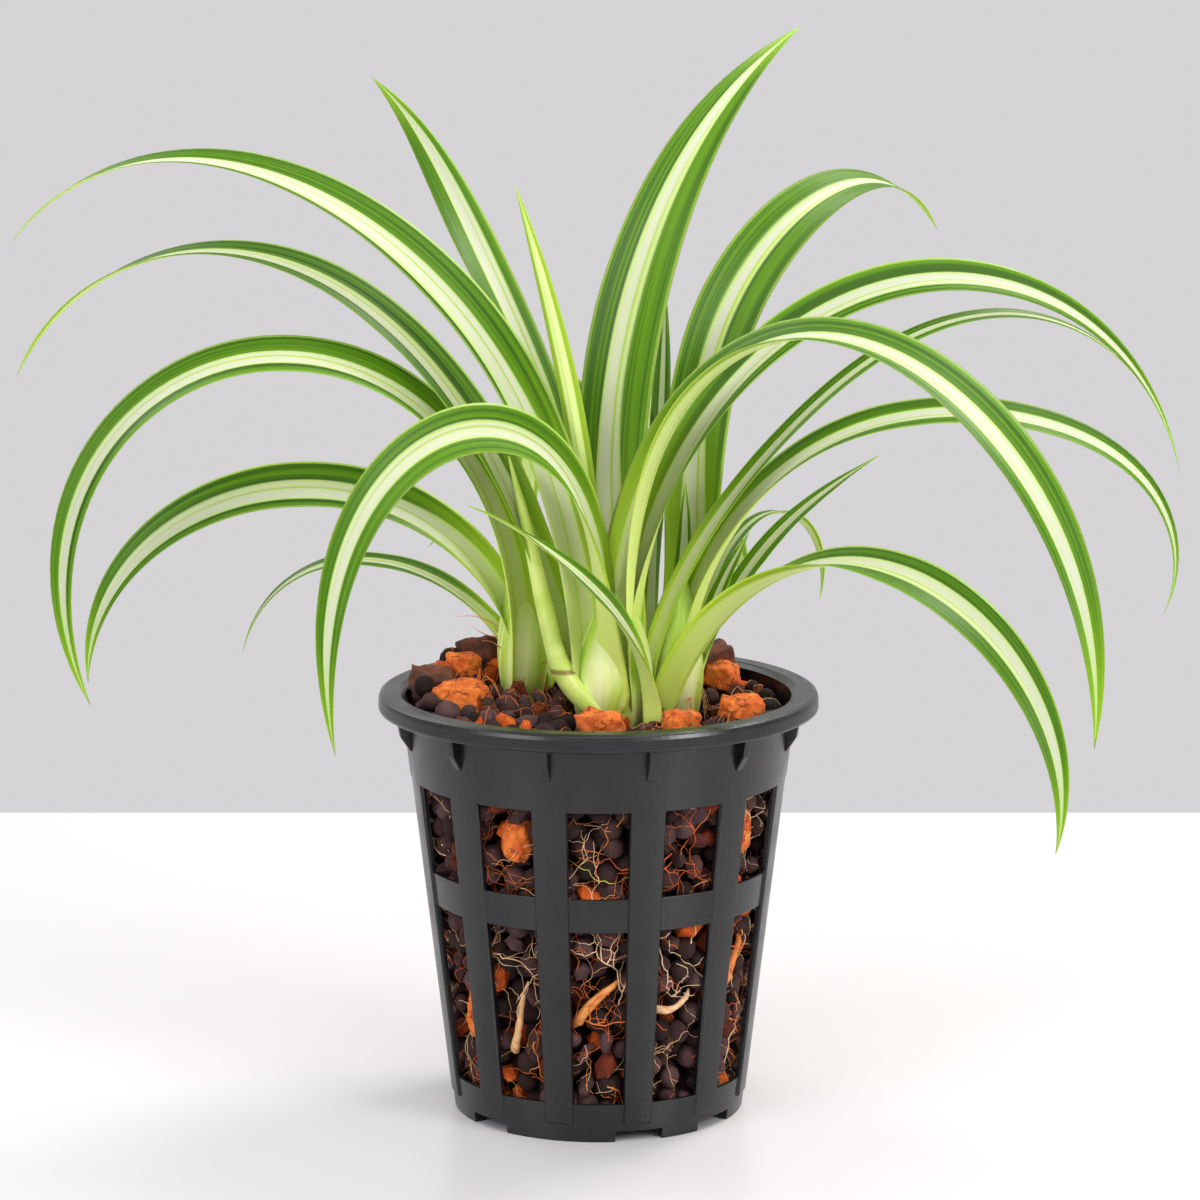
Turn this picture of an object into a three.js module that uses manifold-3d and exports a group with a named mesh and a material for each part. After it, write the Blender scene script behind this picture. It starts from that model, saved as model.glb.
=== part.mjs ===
// A variegated spider plant in a black net pot that is filled with clay pebbles and brick chunks.
// Millimetres, +Z up, origin at the centre of the pot's foot, and -Y is the front of the pot.
import * as THREE from "three";
import { ConvexGeometry } from "three/addons/geometries/ConvexGeometry.js";
import { mergeVertices } from "three/addons/utils/BufferGeometryUtils.js";
import Module from "manifold-3d";

const wasm = await Module();
wasm.setup();

// ---- Driving dimensions: the pot ----
const POT_HEIGHT = 117;
const RIM_RADIUS = 60.4;
const MOUTH_RADIUS = 54.3;
const WALL_RADIUS_TOP = 54.5; // outside of the wall, at the height of the rim
const WALL_RADIUS_FOOT = 40.7; // outside of the wall, at the surface
const WALL_THICKNESS = 1.8;
const SET_BACK = 0.7; // how far the bands lie behind the ribs
const LIP_HEIGHT = 5;
const LIP_THICKNESS = 1.6;
const COLUMNS = 12;
const SLOT_HALF_ANGLE = 9.4;
const UPPER_SLOT = { bottom: 69.6, top: 94 };
const LOWER_SLOT = { bottom: 10.9, top: 60.2 };
const RIB_FOOT = 5; // the ribs end this high above the surface
const FLOOR = { bottom: 4.2, top: 6 };
const FOOT_INSIDE = 37.4;
const FOOT_NOTCHES = [-48, 16, 52, 116, 152, 216, 252]; // degrees from the front
const NOTCH = { height: 3, halfAngle: 9.5 };
const DRAIN = { count: 8, width: 3.4, inner: 10, outer: 34 };
const GUSSET = { depth: 3, height: 12, thickness: 2.2, chamfer: 4 };
const POT_SEGMENTS = 48;
const CUTTER = { inner: 30, outer: 70 }; // the radii that the slots' cutters span

// ---- Driving dimensions: what fills the pot ----
const GAP = 0.3; // between pieces that touch
const FILL_LEVEL = 114; // the pebbles' mean height on the pot's axis
const FILL_SLOPE = { back: 0.1, left: 0.08 }; // they lie higher at the back and at the left
const PEBBLE_BED = 3.2; // the pebbles stand out of their bed by about this much
const TOP_PEBBLES = { count: 46, radius: 5.9 };
const SIDE_PEBBLES = { around: 54, rows: 20, bottom: 10, pitch: 4.7, hollow: 3.4, shift: 1.2 };
const HEADROOM = 12; // how far above the rim the pebbles may rise
const FINEST = 0.1; // edges of the pebbles' joins shorter than this are merged
const CLEAR = GAP + 0.1; // what the pebbles and the crowns keep clear of the other pieces
const BEHIND_WALL = 0.7; // chunks and roots in the slots stand this far inside the wall

// ---- The crowns: short fleshy stems that the leaves stand on ----
const CROWN_DROP = 2.5; // from a crown's middle to its edge
const CROWN_DEPTH = 22;
const FOOT_SINK = 1.5; // how deep a leaf's foot is set in its crown
const FOOT_LENGTH = 14; // the stretch of a leaf that the crown and the pebbles make room for
const CROWNS = {
  centre: { at: [3.5, -5], size: [12, 15], top: 117.5 },
  left: { at: [-21, 15.5], size: [7.5, 8.5], top: 120.5 },
  right: { at: [22, 5], size: [7.5, 12.5], top: 117.8 },
};

// ---- The leaves ----
// foot is the place on the crown; heading is the way the leaf points at its foot, middle and tip, in
// degrees from the pot's right side; climb is its slope at its foot, quarters and tip, in degrees above
// level; roll turns the blade about its own line at its foot, middle and tip, in degrees.
const BLADE = { stations: 17, rib: 1.3, ribAtFoot: 2.2, edge: 0.62, foldAtFoot: 30, fold: 14, tipWidth: 0.9 };
const LEAVES = {
  left_top: { crown: "centre", foot: [-3, -9.5], length: 258, width: 15,
    heading: [185, 177, 174], climb: [90, 72, 44, 7, -54], roll: [-80, -50, 10] },
  left_second: { crown: "centre", foot: [-6.5, -2], length: 243, width: 15.5,
    heading: [170, 168, 167], climb: [77, 65, 37, -11, -64], roll: [-25, -25, 15] },
  left_third: { crown: "left", foot: [-23.5, 9.5], length: 255, width: 17,
    heading: [211, 188, 184], climb: [94, 58, -1, -64, -115], roll: [-80, -30, -80] },
  left_fourth: { crown: "left", foot: [-23, 16], length: 178, width: 16,
    heading: [182, 178, 178], climb: [87, 39, -3, -42, -92], roll: [-40, -15, 50] },
  left_low: { crown: "left", foot: [-22, 22], length: 106, width: 9.5,
    heading: [167, 167, 164], climb: [63, 36, 4, -35, -77], roll: [-15, -15, -25] },
  front_left: { crown: "centre", foot: [1, -14.5], length: 212, width: 14.5,
    heading: [244, 220, 232], climb: [89, 67, -1, -65, -105], roll: [-45, -65, -15] },
  front_small: { crown: "centre", foot: [13, -16], length: 93, width: 10,
    heading: [240, 220, 212], climb: [86, 57, 41, 34, 23], roll: [-45, -45, 20] },
  upright_left: { crown: "centre", foot: [-2, -2], length: 198, width: 18.5,
    heading: [124, 129, 130], climb: [70, 77, 54, 51, 26], roll: [20, 15, -80] },
  upright_small: { crown: "centre", foot: [1, -7], length: 143, width: 6,
    heading: [184, 180, 168], climb: [87, 85, 81, 76, 72], roll: [50, 40, 20] },
  upright_tall: { crown: "centre", foot: [8.5, 3.5], length: 220, width: 21,
    heading: [2, 50, 50], climb: [98, 92, 67, 39, 22], roll: [90, 50, 30] },
  back_upright: { crown: "right", foot: [15, 6.5], length: 116, width: 9,
    heading: [90, 82, 88], climb: [86, 73, 68, 72, 67], roll: [-35, -40, 0] },
  right_top: { crown: "right", foot: [20, 10.5], length: 222, width: 19,
    heading: [39, 48, 53], climb: [63, 90, 50, 9, -47], roll: [10, 50, 5] },
  right_second: { crown: "centre", foot: [10.5, -5], length: 257, width: 12.5,
    heading: [7, 12, 16], climb: [94, 65, 24, -27, -77], roll: [0, 50, 40] },
  front_right: { crown: "centre", foot: [8.5, -11], length: 284, width: 21,
    heading: [-22, -39, -47], climb: [93, 65, -3, -48, -97], roll: [75, 10, 40] },
  right_slim: { crown: "centre", foot: [13.5, -2.5], length: 227, width: 7.5,
    heading: [12, 17, 35], climb: [83, 54, 32, -15, -63], roll: [40, 20, 30] },
  right_third: { crown: "right", foot: [23.5, 2], length: 216, width: 14,
    heading: [12, 4, 2], climb: [88, 51, 7, -32, -115], roll: [0, 25, 40] },
  right_behind: { crown: "right", foot: [27, 7], length: 87, width: 7,
    heading: [18, 23, 23], climb: [78, 62, 47, 33, 27], roll: [15, 25, 15] },
  right_short: { crown: "right", foot: [25, 4.5], length: 47, width: 5.5,
    heading: [19, 21, 30], climb: [78, 72, 70, 60, 56], roll: [25, 40, 45] },
  back_right_small: { crown: "right", foot: [23.5, 11.5], length: 97, width: 7,
    heading: [41, 41, 39], climb: [67, 66, 32, -42, -107], roll: [5, -5, -5] },
  right_low: { crown: "right", foot: [20.5, -6], length: 188, width: 16,
    heading: [-36, -40, -26], climb: [67, 32, -10, -53, -103], roll: [-20, 20, 50] },
  centre_short: { crown: "right", foot: [20, -0.5], length: 59, width: 6.5,
    heading: [70, 67, 75], climb: [91, 75, 70, 87, 88], roll: [-30, -20, 20] },
  back_left: { crown: "centre", foot: [0, 7.5], length: 187, width: 15,
    heading: [100, 104, 109], climb: [80, 68, 14, -64, -109], roll: [20, -5, 0] },
  back_right: { crown: "centre", foot: [6.5, 8], length: 190, width: 11,
    heading: [86, 83, 76], climb: [90, 75, 5, -40, -81], roll: [15, -10, 30] },
  back_left_small: { crown: "left", foot: [-15.5, 19], length: 69, width: 10,
    heading: [128, 128, 131], climb: [73, 36, 49, 6, -40], roll: [35, 0, -45] },
  back_right_short: { crown: "right", foot: [24, 15], length: 81, width: 11,
    heading: [64, 69, 67], climb: [78, 60, 34, -37, -101], roll: [15, 15, 15] },
};

// ---- Helpers ----
const rad = THREE.MathUtils.degToRad;
const lerp = THREE.MathUtils.lerp;

// A seeded draw between 0 and 1, the same on every run.
function draws(seed) {
  let state = seed;
  return () => {
    state = (state * 1664525 + 1013904223) % 4294967296;
    return state / 4294967296;
  };
}

// A closed geometry as a manifold-3d solid with its faces turned outwards.
function solid(geometry) {
  const bare = new THREE.BufferGeometry();
  bare.setAttribute("position", geometry.getAttribute("position"));
  if (geometry.index) bare.setIndex(geometry.index);
  const merged = mergeVertices(bare, 1e-4);
  const corners = merged.index.array;
  const p = new THREE.Vector3();
  const q = new THREE.Vector3();
  const r = new THREE.Vector3();
  let volume = 0;
  const kept = [];
  for (let i = 0; i < corners.length; i += 3) {
    const [a, b, c] = [corners[i], corners[i + 1], corners[i + 2]];
    if (a === b || b === c || c === a) continue;
    kept.push(a, b, c);
    p.fromBufferAttribute(merged.attributes.position, a);
    q.fromBufferAttribute(merged.attributes.position, b);
    r.fromBufferAttribute(merged.attributes.position, c);
    volume += p.dot(q.cross(r));
  }
  if (volume < 0) kept.reverse();
  return new wasm.Manifold(
    new wasm.Mesh({
      numProp: 3,
      vertProperties: new Float32Array(merged.attributes.position.array),
      triVerts: new Uint32Array(kept),
    }),
  );
}

function geometryOf(made) {
  const m = made.getMesh();
  const geometry = new THREE.BufferGeometry();
  geometry.setAttribute("position", new THREE.BufferAttribute(new Float32Array(m.vertProperties), 3));
  geometry.setIndex(new THREE.BufferAttribute(new Uint32Array(m.triVerts), 1));
  geometry.computeVertexNormals();
  return geometry;
}

const union = (solids) => solids.reduce((all, one) => all.add(one));
const largest = (made) => made.decompose().reduce((a, b) => (a.volume() > b.volume() ? a : b));

// A profile of [radius, height] points turned about the Z axis.
function turned(profile, segments = POT_SEGMENTS) {
  const points = profile.map(([r, z]) => new THREE.Vector2(r, z));
  return new THREE.LatheGeometry(points, segments).rotateX(Math.PI / 2);
}

// An upright wedge between two radii, centred on an angle counted from the front.
function wedge(angle, halfAngle, inner, outer, bottom, top) {
  const half = Math.tan(rad(halfAngle));
  const shape = new THREE.Shape([
    new THREE.Vector2(inner, -inner * half),
    new THREE.Vector2(outer, -outer * half),
    new THREE.Vector2(outer, outer * half),
    new THREE.Vector2(inner, inner * half),
  ]);
  return new THREE.ExtrudeGeometry(shape, { depth: top - bottom, bevelEnabled: false })
    .translate(0, 0, bottom)
    .rotateZ(rad(angle - 90));
}

const wallRadius = (z) => lerp(WALL_RADIUS_FOOT, WALL_RADIUS_TOP, z / POT_HEIGHT);
const insideRadius = (z) => wallRadius(z) - WALL_THICKNESS;

// ---- The net pot ----
function potShell() {
  const lipBottom = POT_HEIGHT - LIP_HEIGHT;
  const under = POT_HEIGHT - 2.6;
  return solid(
    turned([
      [0, FLOOR.bottom],
      [FOOT_INSIDE, FLOOR.bottom],
      [FOOT_INSIDE, 0],
      [wallRadius(0) - SET_BACK, 0],
      [wallRadius(RIB_FOOT) - SET_BACK, RIB_FOOT],
      [wallRadius(RIB_FOOT), RIB_FOOT],
      [wallRadius(UPPER_SLOT.top), UPPER_SLOT.top],
      [wallRadius(under), under],
      [RIM_RADIUS - LIP_THICKNESS, under],
      [RIM_RADIUS - LIP_THICKNESS, lipBottom],
      [RIM_RADIUS - 0.6, lipBottom],
      [RIM_RADIUS, lipBottom + 0.6],
      [RIM_RADIUS - 0.2, POT_HEIGHT - 1.1],
      [RIM_RADIUS - 1.1, POT_HEIGHT],
      [MOUTH_RADIUS, POT_HEIGHT],
      [insideRadius(POT_HEIGHT) + 0.4, POT_HEIGHT - 0.8],
      [insideRadius(under), under],
      [insideRadius(FLOOR.top), FLOOR.top],
      [0, FLOOR.top],
    ]),
  );
}

function gusset(angle) {
  const top = POT_HEIGHT - 2.4;
  const bottom = top - GUSSET.height;
  const outline = new THREE.Shape([
    new THREE.Vector2(wallRadius(bottom) - 0.6, bottom),
    new THREE.Vector2(wallRadius(bottom) + 0.3, bottom),
    new THREE.Vector2(wallRadius(bottom) + GUSSET.depth, bottom + GUSSET.chamfer),
    new THREE.Vector2(wallRadius(top) + GUSSET.depth, top),
    new THREE.Vector2(wallRadius(top) - 0.6, top),
  ]);
  return new THREE.ExtrudeGeometry(outline, { depth: GUSSET.thickness, bevelEnabled: false })
    .translate(0, 0, -GUSSET.thickness / 2)
    .rotateX(Math.PI / 2)
    .rotateZ(rad(angle - 90));
}

function netPot() {
  const pitch = 360 / COLUMNS;
  const columns = Array.from({ length: COLUMNS }, (_, i) => i * pitch);
  const skin = solid(
    turned([
      [wallRadius(-1) - SET_BACK, -1],
      [CUTTER.outer, -1],
      [CUTTER.outer, UPPER_SLOT.top],
      [wallRadius(UPPER_SLOT.top) - SET_BACK, UPPER_SLOT.top],
      [wallRadius(-1) - SET_BACK, -1],
    ]),
  );
  const between = columns.map((a) => solid(wedge(a, SLOT_HALF_ANGLE, CUTTER.inner, CUTTER.outer, -2, UPPER_SLOT.top + 2)));
  const cuts = [skin.intersect(union(between))];
  for (const a of columns) {
    for (const slot of [UPPER_SLOT, LOWER_SLOT]) {
      cuts.push(solid(wedge(a, SLOT_HALF_ANGLE, CUTTER.inner, CUTTER.outer, slot.bottom, slot.top)));
    }
  }
  for (const a of FOOT_NOTCHES) {
    cuts.push(solid(wedge(a, NOTCH.halfAngle, CUTTER.inner, CUTTER.outer, -1, NOTCH.height)));
  }
  for (let i = 0; i < DRAIN.count; i++) {
    const length = DRAIN.outer - DRAIN.inner;
    const slot = new THREE.BoxGeometry(length, DRAIN.width, 6)
      .translate(DRAIN.inner + length / 2, 0, (FLOOR.bottom + FLOOR.top) / 2)
      .rotateZ(rad(((i + 0.5) * 360) / DRAIN.count));
    cuts.push(solid(slot));
  }
  const gussets = columns.map((a) => solid(gusset(a + pitch / 2)));
  return union([potShell(), ...gussets]).subtract(union(cuts));
}

// ---- The leaves ----
// The natural cubic curve through values at even steps from 0 to 1.
function evenCurve(values) {
  const n = values.length - 1;
  const bend = new Array(n + 1).fill(0);
  const sweep = new Array(n + 1).fill(0);
  for (let i = 1; i < n; i++) {
    const below = sweep[i - 1] + 4;
    sweep[i] = -1 / below;
    bend[i] = (6 * (values[i + 1] - 2 * values[i] + values[i - 1]) - bend[i - 1]) / below;
  }
  for (let i = n - 1; i > 0; i--) bend[i] += sweep[i] * bend[i + 1];
  return (x) => {
    const i = Math.min(Math.floor(x * n), n - 1);
    const b = x * n - i;
    const a = 1 - b;
    const pull = (a ** 3 - a) * bend[i] + (b ** 3 - b) * bend[i + 1];
    return a * values[i] + b * values[i + 1] + pull / 6;
  };
}

// The share of its full width that a blade has at s, from 0 at its foot to 1 at its tip.
function widthShare(s, atFoot) {
  const widest = 0.38;
  const swell = atFoot + (1 - atFoot) * Math.sin((Math.min(s / widest, 1) * Math.PI) / 2);
  const taper = 1 - Math.max((s - widest) / (1 - widest), 0) ** 1.6;
  return swell * taper;
}

function footHeight(crown, x, y) {
  const out = ((x - crown.at[0]) / crown.size[0]) ** 2 + ((y - crown.at[1]) / crown.size[1]) ** 2;
  return crown.top - CROWN_DROP * out - FOOT_SINK;
}

// The places along a leaf, each with the blade's own directions: along, across and up.
function leafStations(leaf, count) {
  const heading = evenCurve(leaf.heading);
  const climb = evenCurve(leaf.climb);
  const roll = evenCurve(leaf.roll);
  const direction = (s) => {
    const [e, a] = [rad(climb(s)), rad(heading(s))];
    return new THREE.Vector3(Math.cos(e) * Math.cos(a), Math.cos(e) * Math.sin(a), Math.sin(e));
  };
  const [x, y] = leaf.foot;
  const at = new THREE.Vector3(x, y, footHeight(CROWNS[leaf.crown], x, y));
  const steps = 4; // integration steps between two stations
  const stations = [];
  for (let i = 0; i <= count; i++) {
    const s = i / count;
    const a = rad(heading(s));
    const along = direction(s);
    const level = new THREE.Vector3(-Math.sin(a), Math.cos(a), 0);
    const across = level.clone().applyAxisAngle(along, rad(roll(s)));
    stations.push({ s, at: at.clone(), along, across, up: along.clone().cross(across) });
    for (let k = 0; k < steps; k++) {
      const middle = s + (k + 0.5) / (steps * count);
      at.addScaledVector(direction(Math.min(middle, 1)), leaf.length / (steps * count));
    }
  }
  return stations;
}

// A folded blade: at each station three points above and three below, split alike on both faces.
function blade(leaf, grow = 0, used = BLADE.stations) {
  const atFoot = leaf.width > 14 ? 0.42 : 0.5;
  const corners = [];
  const stations = leafStations(leaf, BLADE.stations).slice(0, used + 1);
  if (grow) stations[0].at.addScaledVector(stations[0].along, -grow);
  for (const { s, at, along, across, up } of stations) {
    const fold = rad(lerp(BLADE.foldAtFoot, BLADE.fold, Math.min(s / 0.5, 1)));
    const half = Math.max((leaf.width / 2) * widthShare(s, atFoot), BLADE.tipWidth / 2) + grow;
    const rib = lerp(lerp(BLADE.ribAtFoot, BLADE.rib, Math.min(s / 0.3, 1)), BLADE.edge, s) / 2 + grow;
    const edge = BLADE.edge / 2 + grow;
    for (const [side, thickness] of [[-1, edge], [0, rib], [1, edge]]) {
      const middle = at
        .clone()
        .addScaledVector(across, side * half * Math.cos(fold))
        .addScaledVector(up, Math.abs(side) * half * Math.sin(fold));
      corners.push(middle.clone().addScaledVector(up, thickness));
      corners.push(middle.clone().addScaledVector(up, -thickness));
    }
  }
  // Corner numbers round one station: top left, bottom left, top rib, bottom rib, top right, bottom right.
  const around = [0, 2, 4, 5, 3, 1];
  const faces = [];
  for (let i = 0; i < stations.length - 1; i++) {
    around.forEach((from, k) => {
      const to = around[(k + 1) % around.length];
      const [a, b, c, d] = [6 * i + from, 6 * i + to, 6 * i + 6 + from, 6 * i + 6 + to];
      const onTop = k < 3;
      if (onTop) faces.push(a, b, d, a, d, c);
      else faces.push(a, b, c, b, d, c);
    });
  }
  const last = 6 * (stations.length - 1);
  faces.push(0, 3, 2, 0, 1, 3, 2, 3, 5, 2, 5, 4);
  faces.push(last, last + 2, last + 3, last, last + 3, last + 1);
  faces.push(last + 2, last + 5, last + 3, last + 2, last + 4, last + 5);
  const geometry = new THREE.BufferGeometry().setFromPoints(corners);
  geometry.setIndex(faces);
  return geometry;
}

// ---- The crowns ----
function crownStem(crown, grow = 0) {
  const profile = [
    [0, -CROWN_DEPTH - 2 * grow],
    [0.55, -CROWN_DEPTH - 2 * grow],
    [0.9, -CROWN_DEPTH * 0.55],
    [1, -CROWN_DROP - 4],
    [1, -CROWN_DROP],
    [0.75, -CROWN_DROP * 0.5625],
    [0.4, -CROWN_DROP * 0.16],
    [0, 0],
  ];
  const [width, depth] = crown.size;
  const scaled = turned(profile, 16).scale(width + grow, depth + grow, 1);
  return solid(scaled.translate(crown.at[0], crown.at[1], crown.top + grow));
}

// ---- The pebbles ----
const fillLevel = (x, y) => FILL_LEVEL + FILL_SLOPE.back * y - FILL_SLOPE.left * x;

// A rough ball with few faces, turned by the draw.
function pebble(x, y, z, radius, draw) {
  return new THREE.OctahedronGeometry(radius)
    .rotateX(draw() * Math.PI)
    .rotateY(draw() * Math.PI)
    .translate(x, y, z);
}

// The pebbles behind the slots are raised from the bed's side: its points stand staggered, and one in
// three stands out with six sunk ones round it.
function pebbleBed() {
  const { around, rows, bottom, pitch, hollow, shift } = SIDE_PEBBLES;
  const edge = insideRadius(FILL_LEVEL) - GAP;
  const profile = [[0, FLOOR.top + GAP], [insideRadius(FLOOR.top) - GAP - hollow, FLOOR.top + GAP]];
  for (let row = 0; row < rows; row++) {
    const z = bottom + row * pitch;
    profile.push([insideRadius(z) - GAP, z]);
  }
  profile.push([edge - PEBBLE_BED, FILL_LEVEL], [0, FILL_LEVEL]);
  const bed = turned(profile, around);
  const draw = draws(5);
  const moves = Array.from({ length: around * rows }, () => [draw(), draw() - 0.5, draw() - 0.5]);
  const place = bed.getAttribute("position");
  for (let i = 0; i < place.count; i++) {
    const column = Math.floor(i / profile.length) % around;
    const level = i % profile.length;
    const row = level - 2;
    let angle = Math.atan2(place.getY(i), place.getX(i)) + (level * Math.PI) / around;
    let r = Math.hypot(place.getX(i), place.getY(i));
    let z = place.getZ(i);
    if (row >= 0 && row < rows) {
      const [depth, turn, lift] = moves[column * rows + row];
      const sunk = (column + 2 * row) % 3 ? hollow * (0.7 + 0.3 * depth) : 0.8 * depth;
      z += lift * shift;
      r = insideRadius(z - shift) - GAP - sunk;
      angle += (turn * shift) / r;
    } else if (row >= rows) {
      z = fillLevel(r * Math.cos(angle), r * Math.sin(angle)) - PEBBLE_BED;
    }
    place.setXYZ(i, r * Math.cos(angle), r * Math.sin(angle), z);
  }
  return solid(bed);
}

function growingMedium(taken) {
  const draw = draws(11);
  const pebbles = [];
  const golden = Math.PI * (3 - Math.sqrt(5));
  for (let i = 0; i < TOP_PEBBLES.count; i++) {
    const reach = insideRadius(FILL_LEVEL) - TOP_PEBBLES.radius;
    const r = reach * Math.sqrt((i + 0.5) / TOP_PEBBLES.count);
    const x = r * Math.cos(i * golden);
    const y = r * Math.sin(i * golden);
    const radius = TOP_PEBBLES.radius * (0.85 + 0.3 * draw());
    const z = fillLevel(x, y) - PEBBLE_BED + 0.8 * draw();
    pebbles.push(solid(pebble(x, y, z, radius, draw)));
  }
  const room = solid(
    turned([
      [0, FLOOR.top + GAP],
      [insideRadius(FLOOR.top) - GAP, FLOOR.top + GAP],
      [insideRadius(POT_HEIGHT - 3) - GAP, POT_HEIGHT - 3],
      [insideRadius(POT_HEIGHT - 3) - GAP, POT_HEIGHT + HEADROOM],
      [0, POT_HEIGHT + HEADROOM],
    ]),
  );
  const filled = union([pebbleBed(), ...pebbles]).intersect(room);
  return largest(filled.subtract(union(taken)).simplify(FINEST));
}

// ---- The brick chunks ----
// at is the chunk's middle; size is its width, depth and height; turn is in degrees about Z.
const CHUNKS = {
  top_front_left: { at: [-37, -6, 115], size: [16, 14, 9], turn: 10 },
  top_front: { at: [0.5, -30, 112.5], size: [14, 10, 8], turn: -15 },
  top_front_right: { at: [22, -24, 112], size: [11, 9, 7], turn: 30 },
  top_right: { at: [39, -6, 111.5], size: [12, 12, 8], turn: 20 },
  top_left: { at: [-38, 16, 119], size: [11, 9, 8], turn: 40 },
  top_back: { at: [4, 38, 118], size: [13, 10, 8], turn: 75 },
  top_back_right: { at: [34, 26, 114.5], size: [12, 9, 8], turn: -40 },
  upper_front_left: { column: -1, z: 84, size: [10, 6, 13], turn: 0 },
  upper_right: { column: 2, z: 83, size: [9, 6, 14], turn: 8 },
  upper_back: { column: 6, z: 80, size: [11, 6, 10], turn: 0 },
  lower_left: { column: -2, z: 30, size: [9, 6, 16], turn: 0 },
  lower_back_right: { column: 4, z: 42, size: [10, 6, 13], turn: 0 },
};

// A chunk in a slot stands just inside the wall, in the middle of its column.
function chunkPlace(chunk) {
  if (chunk.at) return { at: new THREE.Vector3(...chunk.at), turn: rad(chunk.turn) };
  const angle = rad((360 / COLUMNS) * chunk.column - 90);
  const r = insideRadius(chunk.z - chunk.size[2] / 2) - BEHIND_WALL - chunk.size[1] / 2;
  return { at: new THREE.Vector3(r * Math.cos(angle), r * Math.sin(angle), chunk.z), turn: angle + Math.PI / 2 };
}

function chunkBody(chunk, seed, grow = 0) {
  const draw = draws(seed);
  const [width, depth, height] = chunk.size;
  const points = [];
  for (let i = 0; i < 14; i++) {
    const up = 1 - (2 * (i + 0.5)) / 14;
    const angle = i * 2.4;
    const out = Math.sqrt(1 - up * up);
    const rough = 0.86 + 0.2 * draw();
    points.push(
      new THREE.Vector3(
        (width / 2 + grow) * rough * Math.cos(angle) * Math.sqrt(out),
        (depth / 2 + grow) * rough * Math.sin(angle) * Math.sqrt(out),
        (height / 2 + grow) * rough * Math.sign(up) * Math.sqrt(Math.abs(up)),
      ),
    );
  }
  const place = chunkPlace(chunk);
  return solid(new ConvexGeometry(points).rotateZ(place.turn).translate(place.at.x, place.at.y, place.at.z));
}

// ---- The thick roots ----
// Each runs just inside the wall, from one column angle and height to another, bowed by sag.
const ROOTS = {
  front: { from: [-9, 33], to: [7.5, 45], bow: 1.5, radius: 1.4 },
  front_left: { from: [-36, 23], to: [-29, 42], bow: -3, radius: 1.2 },
  front_right: { from: [21, 37], to: [37, 40], bow: -2, radius: 1.1 },
  right: { from: [55, 38], to: [66, 52], bow: 2, radius: 1.3 },
  back: { from: [175, 28], to: [196, 46], bow: 3, radius: 1.4 },
};

function rootBody(root, grow = 0) {
  const places = [];
  const steps = 6;
  for (let i = 0; i <= steps; i++) {
    const s = lerp(-grow / 12, 1 + grow / 12, i / steps);
    const angle = rad(lerp(root.from[0], root.to[0], s) - 90);
    const z = lerp(root.from[1], root.to[1], s) + root.bow * Math.sin(Math.PI * s);
    const r = insideRadius(z - root.radius) - BEHIND_WALL - root.radius;
    places.push(new THREE.Vector3(r * Math.cos(angle), r * Math.sin(angle), z));
  }
  const section = new THREE.Shape(
    Array.from({ length: 8 }, (_, i) => {
      const angle = (i / 8) * 2 * Math.PI;
      const r = root.radius + grow;
      return new THREE.Vector2(r * Math.cos(angle), r * Math.sin(angle));
    }),
  );
  const extrudePath = new THREE.CatmullRomCurve3(places);
  return solid(new THREE.ExtrudeGeometry(section, { steps: 10, extrudePath, bevelEnabled: false }));
}

// ---- Materials ----
const paint = (color, roughness) => new THREE.MeshStandardMaterial({ color, roughness, metalness: 0 });
const MATERIALS = {
  pot: paint(0x37393c, 0.42),
  pebbles: paint(0x4b373a, 0.95),
  brick: paint(0xc86a34, 0.9),
  root: paint(0xd79655, 0.7),
  crown: paint(0xc8d76e, 0.5),
  leaf: paint(0x5a910a, 0.42),
};

// ---- The assembly ----
const plant = new THREE.Group();

function place(name, geometry, material) {
  const mesh = new THREE.Mesh(geometry, material);
  mesh.name = name;
  plant.add(mesh);
}

place("net_pot", geometryOf(netPot()), MATERIALS.pot);

// What the medium and the crowns keep clear of: the feet of the leaves, a little grown.
function leafFoot(leaf) {
  const used = Math.ceil(FOOT_LENGTH / (leaf.length / BLADE.stations));
  return solid(blade(leaf, CLEAR, used));
}
const feet = union(Object.values(LEAVES).map(leafFoot));

const taken = [feet];
for (const [name, crown] of Object.entries(CROWNS)) {
  place("crown_" + name, geometryOf(largest(crownStem(crown).subtract(feet).simplify(FINEST))), MATERIALS.crown);
  taken.push(crownStem(crown, GAP));
}
Object.entries(CHUNKS).forEach(([name, chunk], i) => {
  const cut = chunkBody(chunk, 101 + i).subtract(feet);
  place("brick_chunk_" + name, geometryOf(largest(cut)), MATERIALS.brick);
  taken.push(chunkBody(chunk, 101 + i, CLEAR));
});
for (const [name, root] of Object.entries(ROOTS)) {
  place("root_" + name, geometryOf(rootBody(root)), MATERIALS.root);
  taken.push(rootBody(root, CLEAR));
}
place("growing_medium", geometryOf(growingMedium(taken)), MATERIALS.pebbles);
for (const [name, leaf] of Object.entries(LEAVES)) {
  place("leaf_" + name, geometryOf(solid(blade(leaf))), MATERIALS.leaf);
}

export default plant;
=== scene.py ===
# %% [markdown]
# # A potted spider plant
# A variegated spider plant stands in a black net pot full of clay pebbles and brick chunks. The packed
# model is the fixed frame: each solid in it has a place and a size, and every piece made here stands for
# one or more of those solids. Lengths below are in millimetres and are turned into metres by MM.

# %% Load the frame
import math
import random

import bmesh
import bpy
from mathutils import Euler, Matrix, Vector, noise
from mathutils.bvhtree import BVHTree


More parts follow.
